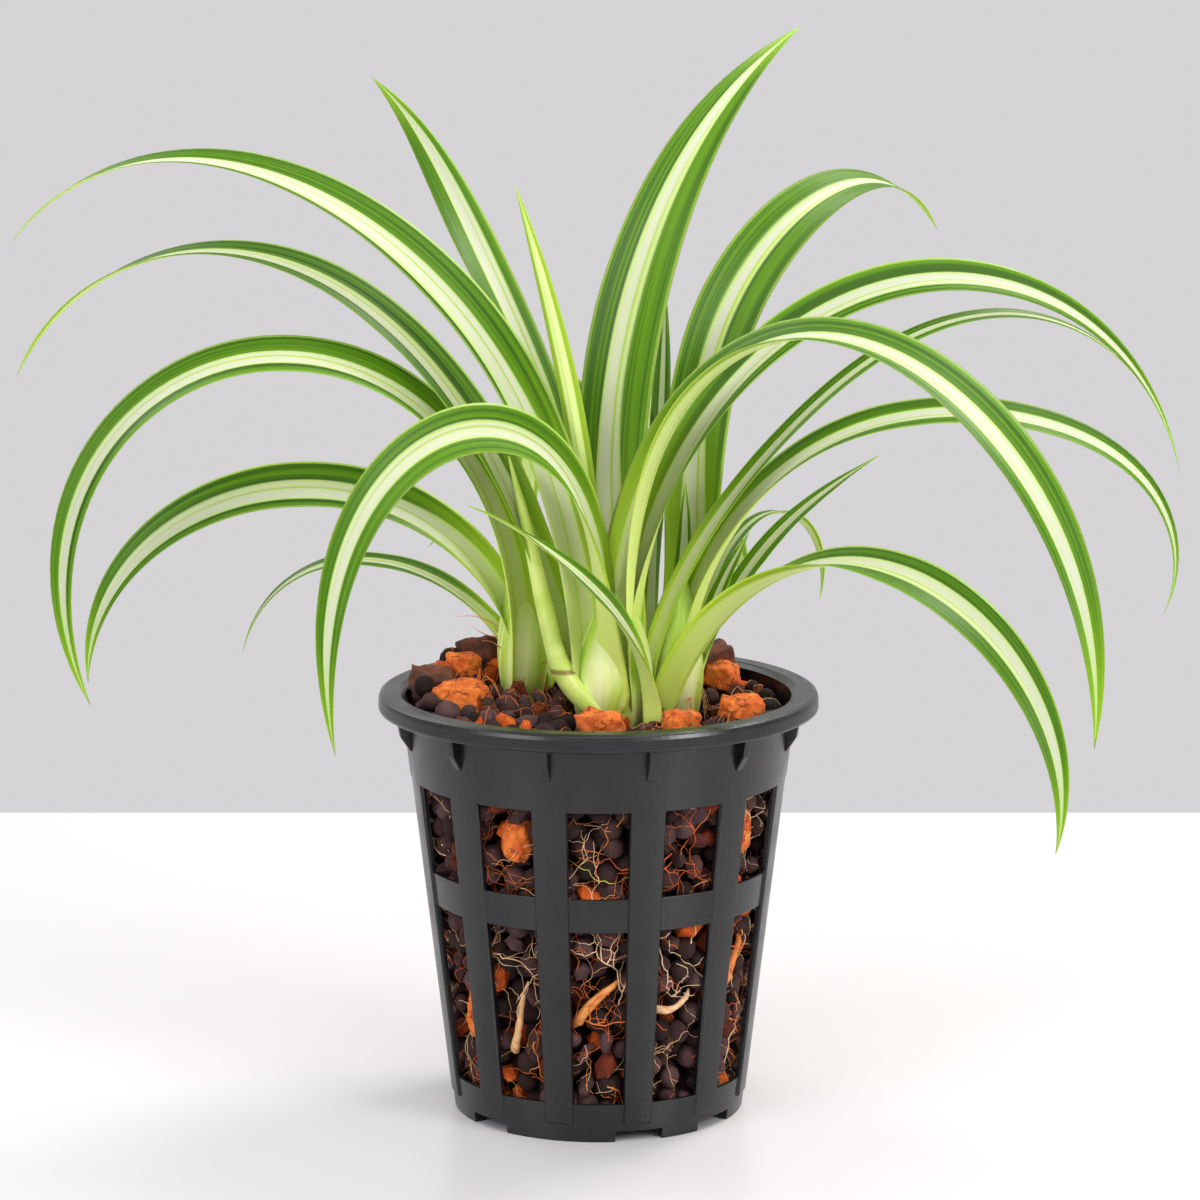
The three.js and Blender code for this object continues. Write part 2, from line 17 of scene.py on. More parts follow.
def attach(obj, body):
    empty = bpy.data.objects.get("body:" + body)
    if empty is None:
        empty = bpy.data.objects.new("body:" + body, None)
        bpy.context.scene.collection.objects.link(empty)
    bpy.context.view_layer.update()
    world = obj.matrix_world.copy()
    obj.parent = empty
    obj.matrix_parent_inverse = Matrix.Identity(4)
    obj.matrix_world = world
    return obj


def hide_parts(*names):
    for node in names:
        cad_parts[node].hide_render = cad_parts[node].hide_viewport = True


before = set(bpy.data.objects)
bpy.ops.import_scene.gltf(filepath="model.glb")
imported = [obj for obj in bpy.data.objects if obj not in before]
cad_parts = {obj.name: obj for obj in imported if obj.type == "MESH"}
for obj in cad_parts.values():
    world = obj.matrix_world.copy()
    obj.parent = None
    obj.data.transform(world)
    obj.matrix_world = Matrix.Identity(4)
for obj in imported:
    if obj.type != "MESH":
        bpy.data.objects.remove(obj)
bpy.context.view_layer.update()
MM = 0.001
print("nodes in the frame:", len(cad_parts))

# %% [markdown]
# ## The camera
# The plant is seen from a little above its leaves' arch, with a long lens from over a metre away, so the
# pot's sides keep their slant and its rim opens to a flat ellipse.

# %% The camera
CAMERA_PLACE = (0.4, -1200.0, 367.5)
CAMERA_DOWN = math.radians(10.652)
FOCAL_LENGTH, SENSOR_WIDTH = 133.98, 36
NEAREST, FARTHEST = 0.05, 50  # in metres


def put_in_scene(name, data):
    made = bpy.data.objects.new(name, data)
    bpy.context.scene.collection.objects.link(made)
    return made


lens = bpy.data.cameras.new("camera")
lens.lens, lens.sensor_width = FOCAL_LENGTH, SENSOR_WIDTH
lens.clip_start, lens.clip_end = NEAREST, FARTHEST
camera = put_in_scene("camera", lens)
camera.location = [MM * c for c in CAMERA_PLACE]
camera.rotation_euler = (math.pi / 2 - CAMERA_DOWN, 0, 0)
bpy.context.scene.camera = camera

# %% [markdown]
# ## A pale table
# A pale stone table in soft light, with an even grey beyond its far edge. The key light stands high at the
# back right, as the leaves are lit there, and two wide lights at the front fill the shade. None of this is
# part of the plant.

# %% Floor, lights and world
def colour(red, green, blue):
    """Display values from 0 to 255 as the linear colour that Blender's sockets take."""
    def linear(value):
        value /= 255
        return value / 12.92 if value <= 0.04045 else ((value + 0.055) / 1.055) ** 2.4
    return (linear(red), linear(green), linear(blue), 1.0)


def principled(name, **values):
    """A material with its Principled shader, whose plain values are set on the shader's own sockets."""
    material = bpy.data.materials.new(name)
    material.use_nodes = True
    tree = material.node_tree
    shader = tree.nodes["Principled BSDF"]
    for key, value in values.items():
        shader.inputs[key.replace("_", " ")].default_value = value
    return material, tree, shader


def mesh_object(name, corners, faces=(), edges=()):
    mesh = bpy.data.meshes.new(name)
    mesh.from_pydata([tuple(c) for c in corners], list(edges), list(faces))
    return put_in_scene(name, mesh)


# The table's half width, and how far it goes behind the pot and before it, in metres.
TABLE_HALF, TABLE_BEHIND, TABLE_BEFORE = 1.8, 0.345, 1.8
table = mesh_object("table", [(-TABLE_HALF, -TABLE_BEFORE, 0), (TABLE_HALF, -TABLE_BEFORE, 0),
                              (TABLE_HALF, TABLE_BEHIND, 0), (-TABLE_HALF, TABLE_BEHIND, 0)], [(0, 1, 2, 3)])
table.data.materials.append(principled("pale stone", Base_Color=colour(206, 204, 206), Roughness=0.3)[0])

LIGHTS = {
    # name: place and size in metres, power in watts, tint
    "key": ((0.8, 0.7, 1.5), 0.6, 22, (1.0, 0.97, 0.9)),
    "front_left": ((-1.3, -1.2, 1.0), 1.0, 15, (0.96, 0.98, 1.0)),
    "front_right": ((1.3, -1.1, 0.9), 0.7, 19, (1.0, 0.98, 0.96)),
    "front_top": ((0.1, -0.9, 1.5), 1.0, 9, (1.0, 1.0, 0.97)),
    "back_left": ((-1.0, 0.9, 1.1), 0.9, 8, (0.97, 1.0, 0.97)),
}
AIM = Vector((0, 0, 0.15))
for name, (place, size, power, tint) in LIGHTS.items():
    light = bpy.data.lights.new(name, "AREA")
    light.size, light.energy, light.color = size, power, tint
    lamp = put_in_scene(name, light)
    lamp.location = place
    lamp.rotation_euler = (AIM - Vector(place)).to_track_quat("-Z", "Y").to_euler()

WORLD_COLOUR, WORLD_STRENGTH = colour(226, 224, 226), 0.88
world = bpy.data.worlds.new("studio")
world.use_nodes = True
background = world.node_tree.nodes["Background"]
background.inputs["Color"].default_value = WORLD_COLOUR
background.inputs["Strength"].default_value = WORLD_STRENGTH
bpy.context.scene.world = world
bpy.context.scene.view_settings.view_transform = "Standard"
print("lights:", len(LIGHTS))

# %% [markdown]
# ## Helpers for node trees
# Materials and Geometry Nodes are both graphs of nodes. `add` makes one node, fills its inputs, and gives
# back an output as a `Wire`. A sign between two wires, or a wire and a number, makes a Math node, so a
# rule reads here as it would on paper: `side * half + lift`.

# %% Node helpers
class Wire:
    """An output of a node. wire["Name"] is another output of the same node."""

    def __init__(self, socket):
        self.socket, self.tree = socket, socket.id_data

    def __getitem__(self, output):
        return Wire(self.socket.node.outputs[output])

    def __add__(self, other):
        return maths("ADD", self, other)

    def __sub__(self, other):
        return maths("SUBTRACT", self, other)

    def __rsub__(self, other):
        return maths("SUBTRACT", other, self)

    def __mul__(self, other):
        return maths("MULTIPLY", self, other)

    def __truediv__(self, other):
        return maths("DIVIDE", self, other)

    def __rtruediv__(self, other):
        return maths("DIVIDE", other, self)

    def __pow__(self, other):
        return maths("POWER", self, other)

    def __abs__(self):
        return maths("ABSOLUTE", self)


def join(value, socket):
    """Links a wire to a socket, or sets the socket's own value."""
    if isinstance(value, Wire):
        value.tree.links.new(value.socket, socket)
    else:
        socket.default_value = value


def add(tree, kind, inputs=(), output=0, **settings):
    node = tree.nodes.new(kind)
    for key, value in settings.items():
        setattr(node, key, value)
    for key, value in dict(inputs).items():
        join(value, node.inputs[key])
    return Wire(node.outputs[output])

# %% Helpers for numbers, places and colours
def tree_of(*values):
    return next(value.tree for value in values if isinstance(value, Wire))


def maths(operation, *values):
    return add(tree_of(*values), "ShaderNodeMath", dict(enumerate(values)), operation=operation)


def clamped(wire):
    """Ticks Clamp on the Math node that the wire comes from, which keeps it from 0 to 1."""
    wire.socket.node.use_clamp = True
    return wire


def ramp(value, low, high, to_low=0.0, to_high=1.0, smooth=True):
    kind = "SMOOTHSTEP" if smooth else "LINEAR"
    inputs = dict(enumerate((value, low, high, to_low, to_high)))
    return add(value.tree, "ShaderNodeMapRange", inputs, interpolation_type=kind)


def between(share, start, end):
    """From start to end in a straight line as the share goes from 0 to 1."""
    return ramp(share, 0.0, 1.0, start, end, smooth=False)


def combined(*values):
    return add(tree_of(*values), "ShaderNodeCombineXYZ", dict(enumerate(values)))


def split(vector):
    return add(vector.tree, "ShaderNodeSeparateXYZ", {0: vector})


def scaled(vector, amount):
    return add(vector.tree, "ShaderNodeVectorMath", {0: vector, "Scale": amount}, operation="SCALE")


def moved(vector, by, operation="ADD"):
    return add(vector.tree, "ShaderNodeVectorMath", {0: vector, 1: by}, operation=operation)


def noise_at(place, scale=1.0, detail=2.0, output=0):
    """Output 0 is one number, output 1 is three that differ, for a push in any direction."""
    return add(place.tree, "ShaderNodeTexNoise", {"Vector": place, "Scale": scale, "Detail": detail}, output)


def mixed(factor, a, b, blend="MIX"):
    inputs = {0: factor, 6: a, 7: b}
    return add(tree_of(factor, a, b), "ShaderNodeMix", inputs, 2, data_type="RGBA", blend_type=blend)


def painted(base, *layers):
    """Lays colours over a base, each one through its own mask."""
    for mask, shade in layers:
        base = mixed(mask, base, shade)
    return base


FLOAT, INT, VECTOR = "NodeSocketFloat", "NodeSocketInt", "NodeSocketVector"
COLOUR, GEOMETRY, MATERIAL = "NodeSocketColor", "NodeSocketGeometry", "NodeSocketMaterial"
OBJECT = "NodeSocketObject"


def group(name, kind, inputs, outputs):
    """A node group. Each named socket is given its type, or a number, which is then its default."""
    tree = bpy.data.node_groups.new(name, kind)
    for direction, sockets in (("INPUT", inputs), ("OUTPUT", outputs)):
        for socket, value in sockets.items():
            type_ = {float: FLOAT, int: INT}.get(type(value), value)
            made = tree.interface.new_socket(socket, in_out=direction, socket_type=type_)
            if type_ is not value:
                made.default_value = value
    return tree, Wire(tree.nodes.new("NodeGroupInput").outputs[0]), tree.nodes.new("NodeGroupOutput").inputs

# %% [markdown]
# A Geometry Nodes tree is a chain: a geometry goes through one node, and then the next. Each tree ends in
# the same two nodes, which turn copies into real faces and give the faces their material.

# %% Helpers for Geometry Nodes
def geometry_tree(name, inputs):
    inputs = {"Geometry": GEOMETRY, **inputs, "Material": MATERIAL}
    return group(name, "GeometryNodeTree", inputs, {"Geometry": GEOMETRY})


def then(geometry, kind, inputs=(), **settings):
    """The next node that a geometry goes through."""
    return add(geometry.tree, "GeometryNode" + kind, {0: geometry, **dict(inputs)}, **settings)


def end_tree(geometry, inp, out):
    dressed = then(then(geometry, "RealizeInstances"), "SetMaterial", {"Material": inp["Material"]})
    join(dressed, out["Geometry"])


def stored(geometry, name, value, type_="FLOAT", domain="POINT"):
    inputs = {"Name": name, "Value": value}
    return then(geometry, "StoreNamedAttribute", inputs, data_type=type_, domain=domain)


def named(tree, name, type_="FLOAT"):
    return add(tree, "GeometryNodeInputNamedAttribute", {"Name": name}, data_type=type_)


def lumpy(geometry, scale, detail, depth):
    """Pushes a geometry's points about by noise, whose scale counts in waves to the millimetre."""
    at = scaled(add(geometry.tree, "GeometryNodeInputPosition"), 1 / MM)
    push = moved(noise_at(at, scale, detail, 1), (0.5, 0.5, 0.5), "SUBTRACT")
    return then(geometry, "SetPosition", {"Offset": scaled(push, depth)})

# %% [markdown]
# ## Helpers for pieces
# A piece is a mesh whose place is in its vertices, so its object stays at the origin. `run_tree` gives an
# object a Geometry Nodes modifier, sets its inputs by their identifiers, and keeps the result as a plain
# mesh. `ringed` closes a stack of rings into a solid. `seat` hangs a piece under the frame's root and hides
# the solids that it stands for.

# %% Piece helpers
def shape_of(*meshes):
    shape = bmesh.new()
    for mesh in meshes:
        shape.from_mesh(mesh)
    return shape


def object_of(name, shape):
    made = mesh_object(name, [])
    shape.to_mesh(made.data)
    shape.free()
    return made


def ringed(name, corners, around):
    """A closed mesh from rings of corners, one above the other, with as many corners in each."""
    rings = len(corners) // around
    faces = []
    for i in range(rings - 1):
        for k in range(around):
            n = (k + 1) % around
            faces.append((i * around + k, i * around + n, (i + 1) * around + n, (i + 1) * around + k))
    faces += [tuple((rings - 1) * around + k for k in range(around)), tuple(range(around - 1, -1, -1))]
    return mesh_object(name, corners, faces)


def run_tree(piece, tree, values):
    modifier = piece.modifiers.new(tree.name, "NODES")
    modifier.node_group = tree
    for item in tree.interface.items_tree:
        if item.item_type == "SOCKET" and item.in_out == "INPUT" and item.name in values:
            modifier[item.identifier] = values[item.name]
    return keep_result(piece)


def keep_result(piece):
    graph = bpy.context.evaluated_depsgraph_get()
    result = bpy.data.meshes.new_from_object(piece.evaluated_get(graph), preserve_all_data_layers=True,
                                             depsgraph=graph)
    piece.modifiers.clear()
    piece.data = result
    result.name = piece.name
    return piece


def store_on_points(piece, name, values, type_="FLOAT", key="value"):
    piece.data.attributes.new(name, type_, "POINT").data.foreach_set(key, values)


def volume(piece):
    shape = shape_of(piece.data)
    size = shape.calc_volume(signed=True)
    shape.free()
    return size


def triangles(*pieces):
    return sum(len(p.vertices) - 2 for piece in pieces for p in piece.data.polygons)


def dress(piece, material, smooth=True):
    for face in piece.data.polygons:
        face.use_smooth = smooth
    piece.data.materials.clear()
    piece.data.materials.append(material)


def seat(piece, slot, *nodes):
    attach(piece, "root")
    if nodes:
        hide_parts(*nodes)

# %% [markdown]
# ## Effects that several finishes share
# Real surfaces are never one flat colour. `Mottle` mixes two colours in soft patches and gives a height
# for the bump, and `Cracks` draws the thin broken lines of fired clay. Both read Object coordinates in
# millimetres, so a pattern has the same size on every piece.

# %% Shader groups: Mottle and Cracks
def object_millimetres(tree):
    place = add(tree, "ShaderNodeTexCoord", output="Object")
    return add(tree, "ShaderNodeMapping", {"Vector": place, "Scale": (1000, 1000, 1000)})


MOTTLE, inp, out = group(
    "Mottle", "ShaderNodeTree",
    {"Dark": COLOUR, "Light": COLOUR, "Patch Size": 4.0, "Grain Size": 0.5, "Grain": 0.3},
    {"Color": COLOUR, "Height": FLOAT})
place = object_millimetres(MOTTLE)
patches = noise_at(place, 1.0 / inp["Patch Size"], 3.0)
grain = noise_at(place, 1.0 / inp["Grain Size"])
blend = (grain - 0.5) * inp["Grain"] + patches
join(mixed(ramp(blend, 0.3, 0.7), inp["Dark"], inp["Light"]), out["Color"])
join(grain * 0.5 + patches, out["Height"])

CRACKS, inp, out = group(
    "Cracks", "ShaderNodeTree", {"Cell Size": 4.0, "Width": 0.06, "Wander": 1.0}, {"Mask": FLOAT})
place = object_millimetres(CRACKS)
bent = moved(place, scaled(noise_at(place, 0.45, 3.0, 1), inp["Wander"]))
cells = add(CRACKS, "ShaderNodeTexVoronoi", {"Vector": bent, "Scale": 1.0 / inp["Cell Size"]},
            feature="DISTANCE_TO_EDGE")
broken = noise_at(place, 0.35, 1.0)
join(ramp(cells, 0.0, inp["Width"], 1.0, 0.0) * ramp(broken, 0.42, 0.56), out["Mask"])

# %% Helpers for finishes
def use_group(tree, shared, **values):
    inputs = {key.replace("_", " "): value for key, value in values.items()}
    return add(tree, "ShaderNodeGroup", inputs, node_tree=shared)


def mottle(tree, dark, light, patch_size, grain_size, grain):
    return use_group(tree, MOTTLE, Dark=colour(*dark), Light=colour(*light), Patch_Size=patch_size,
                     Grain_Size=grain_size, Grain=grain)


def finish(shader, shade, height, strength, depth):
    """Feeds a shader's colour, and a bump of this depth in millimetres from a height."""
    join(shade, shader.inputs["Base Color"])
    relief = {"Strength": strength, "Distance": depth * MM, "Height": height}
    join(add(height.tree, "ShaderNodeBump", relief), shader.inputs["Normal"])


def attribute(tree, name):
    return add(tree, "ShaderNodeAttribute", attribute_name=name, attribute_type="GEOMETRY")

# %% [markdown]
# ## The net pot
# The pot is one injection moulding: a slanted wall with two rows of slots, a turned-down rim, small fins
# under it and a notched foot. Its section is one closed line, so the wall is built as a grid: the section
# goes round the axis, cells that lie in a slot are left out, and the cut edges are closed through the
# wall. A bevel then rounds every edge as a mould does, which catches the thin bright lines along it.

# %% The pot's sizes
POT_HEIGHT = 117.0
RIM_RADIUS = 60.4
MOUTH_RADIUS = 54.3
WALL_TOP, WALL_FOOT = 54.5, 40.7
WALL_THICKNESS = 1.8
SET_BACK = 0.7  # how far the bands between the ribs lie behind them
LIP_HEIGHT, LIP_THICKNESS = 5.0, 1.6
COLUMNS = 12
SLOT_HALF_ANGLE = 9.4
UPPER_SLOT = (69.6, 94.0)
LOWER_SLOT = (10.9, 60.2)
HALFWAY_ROW = 35.5  # a row of the grid that halves the tall lower slots
RIB_FOOT = 5.0
FLOOR_BOTTOM, FLOOR_TOP = 4.2, 6.0
FOOT_INSIDE = 37.4
NOTCHES = [-48, 16, 52, 116, 152, 216, 252]
NOTCH_HEIGHT, NOTCH_HALF_ANGLE = 3.0, 9.5
DRAIN_COUNT, DRAIN_HALF_ANGLE, DRAIN_REACH = 8, 4.6, (10.0, 34.0)
UNDER_RIM = POT_HEIGHT - 2.6
LIP = POT_HEIGHT - LIP_HEIGHT


def wall_radius(z):
    return WALL_FOOT + (WALL_TOP - WALL_FOOT) * z / POT_HEIGHT


def inside_radius(z):
    return wall_radius(z) - WALL_THICKNESS


def polar(radius, degrees, z):
    """A place counted in degrees from the front, towards the right, as a vector in metres."""
    a = math.radians(degrees)
    return Vector((radius * math.sin(a), -radius * math.cos(a), z)) * MM

# %% The wall's section and the turns of its grid
SLOT_CENTRES = [i * 360 / COLUMNS for i in range(COLUMNS)]
DRAIN_CENTRES = [(i + 0.5) * 360 / DRAIN_COUNT + 90 for i in range(DRAIN_COUNT)]
STEP = 0.45  # the turn, in degrees, in which the wall drops from a rib to a band
STEP_HEIGHT = 0.4
WIDEST_TURN = 2.2  # no cell of the grid takes up much more than this, in degrees


def in_band(degrees, centres, half):
    return any(abs((degrees - c + 180) % 360 - 180) < half for c in centres)


def angle_lines():
    """The turns at which the wall's grid has a line: every edge in it, and even steps between."""
    bands = ((SLOT_CENTRES, SLOT_HALF_ANGLE), (SLOT_CENTRES, SLOT_HALF_ANGLE + STEP),
             (NOTCHES, NOTCH_HALF_ANGLE), (DRAIN_CENTRES, DRAIN_HALF_ANGLE))
    ordered = sorted({round((c + side * half) % 360, 3)
                      for centres, half in bands for c in centres for side in (-1, 1)})
    filled = []
    for a, b in zip(ordered, ordered[1:] + [ordered[0] + 360]):
        count = max(1, round((b - a) / WIDEST_TURN))
        filled += [a + (b - a) * k / count for k in range(count)]
    return filled


# Each row of the section is (name, radius, height); "back" rows drop behind the ribs between the ribs,
# and "foot" rows do so all round. The rim's rounding is a few rows, as insets from its radius and its ends.
SLOT_ROWS = [LOWER_SLOT[0], HALFWAY_ROW, LOWER_SLOT[1],
             UPPER_SLOT[0], UPPER_SLOT[1] - STEP_HEIGHT, UPPER_SLOT[1]]
LIP_ROUNDING = ((LIP_THICKNESS, 0), (0.7, 0), (0.15, 0.3), (0, 1.0))
TOP_ROUNDING = ((0.1, 1.6), (0.5, 0.5), (1.5, 0))
SECTION = [("under", r, FLOOR_BOTTOM) for r in (*DRAIN_REACH, FOOT_INSIDE)]
SECTION += [("inside", FOOT_INSIDE, z) for z in (NOTCH_HEIGHT, 0.0)]
SECTION += [("foot", wall_radius(z), z) for z in (0.0, NOTCH_HEIGHT, RIB_FOOT)]
SECTION += [("back", wall_radius(RIB_FOOT), RIB_FOOT + STEP_HEIGHT)]
SECTION += [("back" if z < UPPER_SLOT[1] else "outer", wall_radius(z), z) for z in SLOT_ROWS]
SECTION += [("rim", wall_radius(UNDER_RIM), UNDER_RIM), ("rim", RIM_RADIUS - LIP_THICKNESS, UNDER_RIM)]
SECTION += [("rim", RIM_RADIUS - inset, LIP + rise) for inset, rise in LIP_ROUNDING]
SECTION += [("rim", RIM_RADIUS - inset, POT_HEIGHT - drop) for inset, drop in TOP_ROUNDING]
SECTION += [("rim", MOUTH_RADIUS + 0.6, POT_HEIGHT), ("rim", MOUTH_RADIUS, POT_HEIGHT - 0.3),
            ("rim", inside_radius(POT_HEIGHT) + 0.2, POT_HEIGHT - 1.2)]
SECTION += [("inner", inside_radius(z), z) for z in (*reversed(SLOT_ROWS), FLOOR_TOP)]
SECTION += [("floor", r, FLOOR_TOP) for r in reversed(DRAIN_REACH)]


def rows_at(names, places, by_radius=False):
    """The section's row numbers with one of these names at each of these heights or radii."""
    which = 1 if by_radius else 2
    return [next(i for i, row in enumerate(SECTION) if row[0] in names and abs(row[which] - place) < 1e-6)
            for place in places]

# %% [markdown]
# An opening is a run of rows on one face of the wall, the same run on its other face, and the turns that
# it takes up. Its cells are left out on both faces, and quads through the wall close its ends and sides.

# %% Build the pot
EDGE_ROUNDING = 0.17
SHARP = math.radians(35)  # edges that turn by more than this are rounded
FLAT_MIDDLE = 36.0  # but not inside this radius, where the floor's cells are too small


def build_pot():
    turns = angle_lines()
    number = len(turns)
    middles = [(a + b) / 2 for a, b in zip(turns, turns[1:] + [turns[0] + 360])]
    between_ribs = [in_band(t, SLOT_CENTRES, SLOT_HALF_ANGLE + STEP / 2) for t in turns]
    shape = bmesh.new()
    grid = []
    for name, radius, z in SECTION:
        drops = [SET_BACK * (name == "foot" or (name == "back" and band)) for band in between_ribs]
        grid.append([shape.verts.new(polar(radius - drop, t, z)) for t, drop in zip(turns, drops)])
    gone, closing = set(), []

    def cut(one, other, centres, half, open_start=False):
        hit = [in_band(m, centres, half) for m in middles]
        for j in range(number):
            k = (j + 1) % number
            if hit[j]:
                for rows in (one, other):
                    gone.update((min(a, b), j) for a, b in zip(rows, rows[1:]))
                for end in ([-1] if open_start else [0, -1]):
                    near, far = grid[one[end]], grid[other[end]]
                    closing.append([near[j], near[k], far[k], far[j]])
                if open_start:
                    gone.add((min(one[0], other[0]), j))
            if hit[j] != hit[j - 1]:
                for a, b, c, d in zip(one, one[1:], other[1:], other):
                    closing.append([grid[row][j] for row in (a, b, c, d)])

    for heights in (SLOT_ROWS[:3], SLOT_ROWS[3:]):
        cut(rows_at(("back", "outer"), heights), rows_at(("inner",), heights), SLOT_CENTRES, SLOT_HALF_ANGLE)
    foot = (0.0, NOTCH_HEIGHT)
    cut(rows_at(("foot",), foot), rows_at(("inside",), foot), NOTCHES, NOTCH_HALF_ANGLE, open_start=True)
    under, over = (rows_at((name,), DRAIN_REACH, by_radius=True) for name in ("under", "floor"))
    cut(under, over, DRAIN_CENTRES, DRAIN_HALF_ANGLE)
    for i in range(len(SECTION) - 1):
        for j in range(number):
            if (i, j) not in gone:
                k = (j + 1) % number
                shape.faces.new((grid[i][j], grid[i][k], grid[i + 1][k], grid[i + 1][j]))
    for corners in closing:
        shape.faces.new(corners)
    for ring, z in ((grid[0], FLOOR_BOTTOM), (grid[-1], FLOOR_TOP)):
        hub = shape.verts.new((0, 0, z * MM))
        for j in range(number):
            shape.faces.new((hub, ring[j], ring[(j + 1) % number]))
    bmesh.ops.recalc_face_normals(shape, faces=shape.faces)
    weight = shape.edges.layers.float.new("bevel_weight_edge")
    for edge in shape.edges:
        if len(edge.link_faces) == 2 and edge.calc_face_angle() > SHARP:
            edge[weight] = float(min(v.co.xy.length for v in edge.verts) > FLAT_MIDDLE * MM)
    print("open edges left in the pot:", sum(not e.is_manifold for e in shape.edges))
    return object_of("net_pot_moulding", shape)


pot = build_pot()
rounding = pot.modifiers.new("rounding", "BEVEL")
rounding.width, rounding.segments, rounding.limit_method = EDGE_ROUNDING * MM, 2, "WEIGHT"
keep_result(pot)
print("pot triangles:", triangles(pot), "volume in cubic cm:", round(volume(pot) * 1e6, 1))

# %% [markdown]
# The fins under the rim are twelve copies of one small shape, so Geometry Nodes set them round a circle:
# one point for each fin, turned to face outwards.

# %% Build the fins
GUSSET_DEPTH, GUSSET_HEIGHT, GUSSET_THICKNESS, GUSSET_CHAMFER = 3.0, 12.0, 2.2, 4.0
GUSSET_TOP = POT_HEIGHT - 2.2
GUSSET_BOTTOM = POT_HEIGHT - 2.4 - GUSSET_HEIGHT
GUSSET_ROOT, GUSSET_EDGE = 0.6, 0.3  # how far a fin runs into the wall, and how far its edges are rounded


def build_fin():
    """One fin, standing at the front of the pot."""
    low, high = wall_radius(GUSSET_BOTTOM), wall_radius(GUSSET_TOP)
    outline = [(low - GUSSET_ROOT, GUSSET_BOTTOM), (low + 0.3, GUSSET_BOTTOM),
               (low + GUSSET_DEPTH, GUSSET_BOTTOM + GUSSET_CHAMFER), (high + GUSSET_DEPTH, GUSSET_TOP),
               (high - GUSSET_ROOT, GUSSET_TOP)]
    half = GUSSET_THICKNESS / 2
    corners = [Vector((side * half, -r, z)) * MM for side in (-1, 1) for r, z in outline]
    n = len(outline)
    faces = [tuple(range(n)), tuple(range(2 * n - 1, n - 1, -1))]
    faces += [(i, i + n, (i + 1) % n + n, (i + 1) % n) for i in range(n)]
    fin = mesh_object("rim_fins", corners, faces)
    shape = shape_of(fin.data)
    bmesh.ops.recalc_face_normals(shape, faces=shape.faces)
    bmesh.ops.bevel(shape, geom=list(shape.edges), offset=GUSSET_EDGE * MM, segments=2, affect="EDGES",
                    profile=0.5)
    shape.to_mesh(fin.data)
    shape.free()
    return fin


RING, inp, out = geometry_tree("Ring of copies", {"Count": 12, "First Turn": 0.0})
turn = add(RING, "GeometryNodeInputIndex") * (2 * math.pi / inp["Count"]) + inp["First Turn"]
points = add(RING, "GeometryNodePoints", {"Count": inp["Count"]})
turned = combined(0.0, 0.0, turn)
end_tree(then(points, "InstanceOnPoints", {"Instance": inp["Geometry"], "Rotation": turned}), inp, out)

# %% [markdown]
# ### Satin black plastic
# The pot's plastic is dark charcoal, with the soft gloss of a polished mould, a very fine grain and a
# little pale dust and rubbing where hands and shelves touch it. `Mottle` varies the colour and the gloss,
# and its grain feeds a shallow bump.

# %% The pot's finish
plastic, tree, shader = principled("satin black plastic", IOR=1.49)
look = mottle(tree, (9, 10, 12), (18, 19, 22), 9.0, 0.35, 0.5)
finish(shader, look["Color"], look["Height"], 0.12, 0.08)
join(ramp(look["Height"], 0.4, 1.1, 0.24, 0.36), shader.inputs["Roughness"])
dress(pot, plastic, smooth=False)
fins = run_tree(build_fin(), RING, {"Count": COLUMNS, "First Turn": math.pi / COLUMNS, "Material": plastic})
seat(pot, "pot", "net_pot")
seat(fins, "pot")
print("fins:", triangles(fins), "triangles")

# %% [markdown]
# ## The leaves' growth
# A leaf leaves its crown steeply, arches over and hangs by its own weight. Its line is drawn from a few
# numbers: where it starts, how long it is, which way it heads, how steeply it climbs at its foot, its
# quarters and its tip, and how the blade rolls about its line. A smooth curve runs through each set.

# %% The leaves' sizes
CROWNS = {
    # at and size in millimetres, top is the height of the crown's middle
    "centre": {"at": (3.5, -5), "size": (12, 15), "top": 117.5},
    "left": {"at": (-21, 15.5), "size": (7.5, 8.5), "top": 120.5},
    "right": {"at": (22, 5), "size": (7.5, 12.5), "top": 117.8},
}
CROWN_DROP, FOOT_SINK = 2.5, 1.5
FOOT_ROOT = 5.0  # how far each blade's foot runs on down into the pebbles
STATIONS = 68

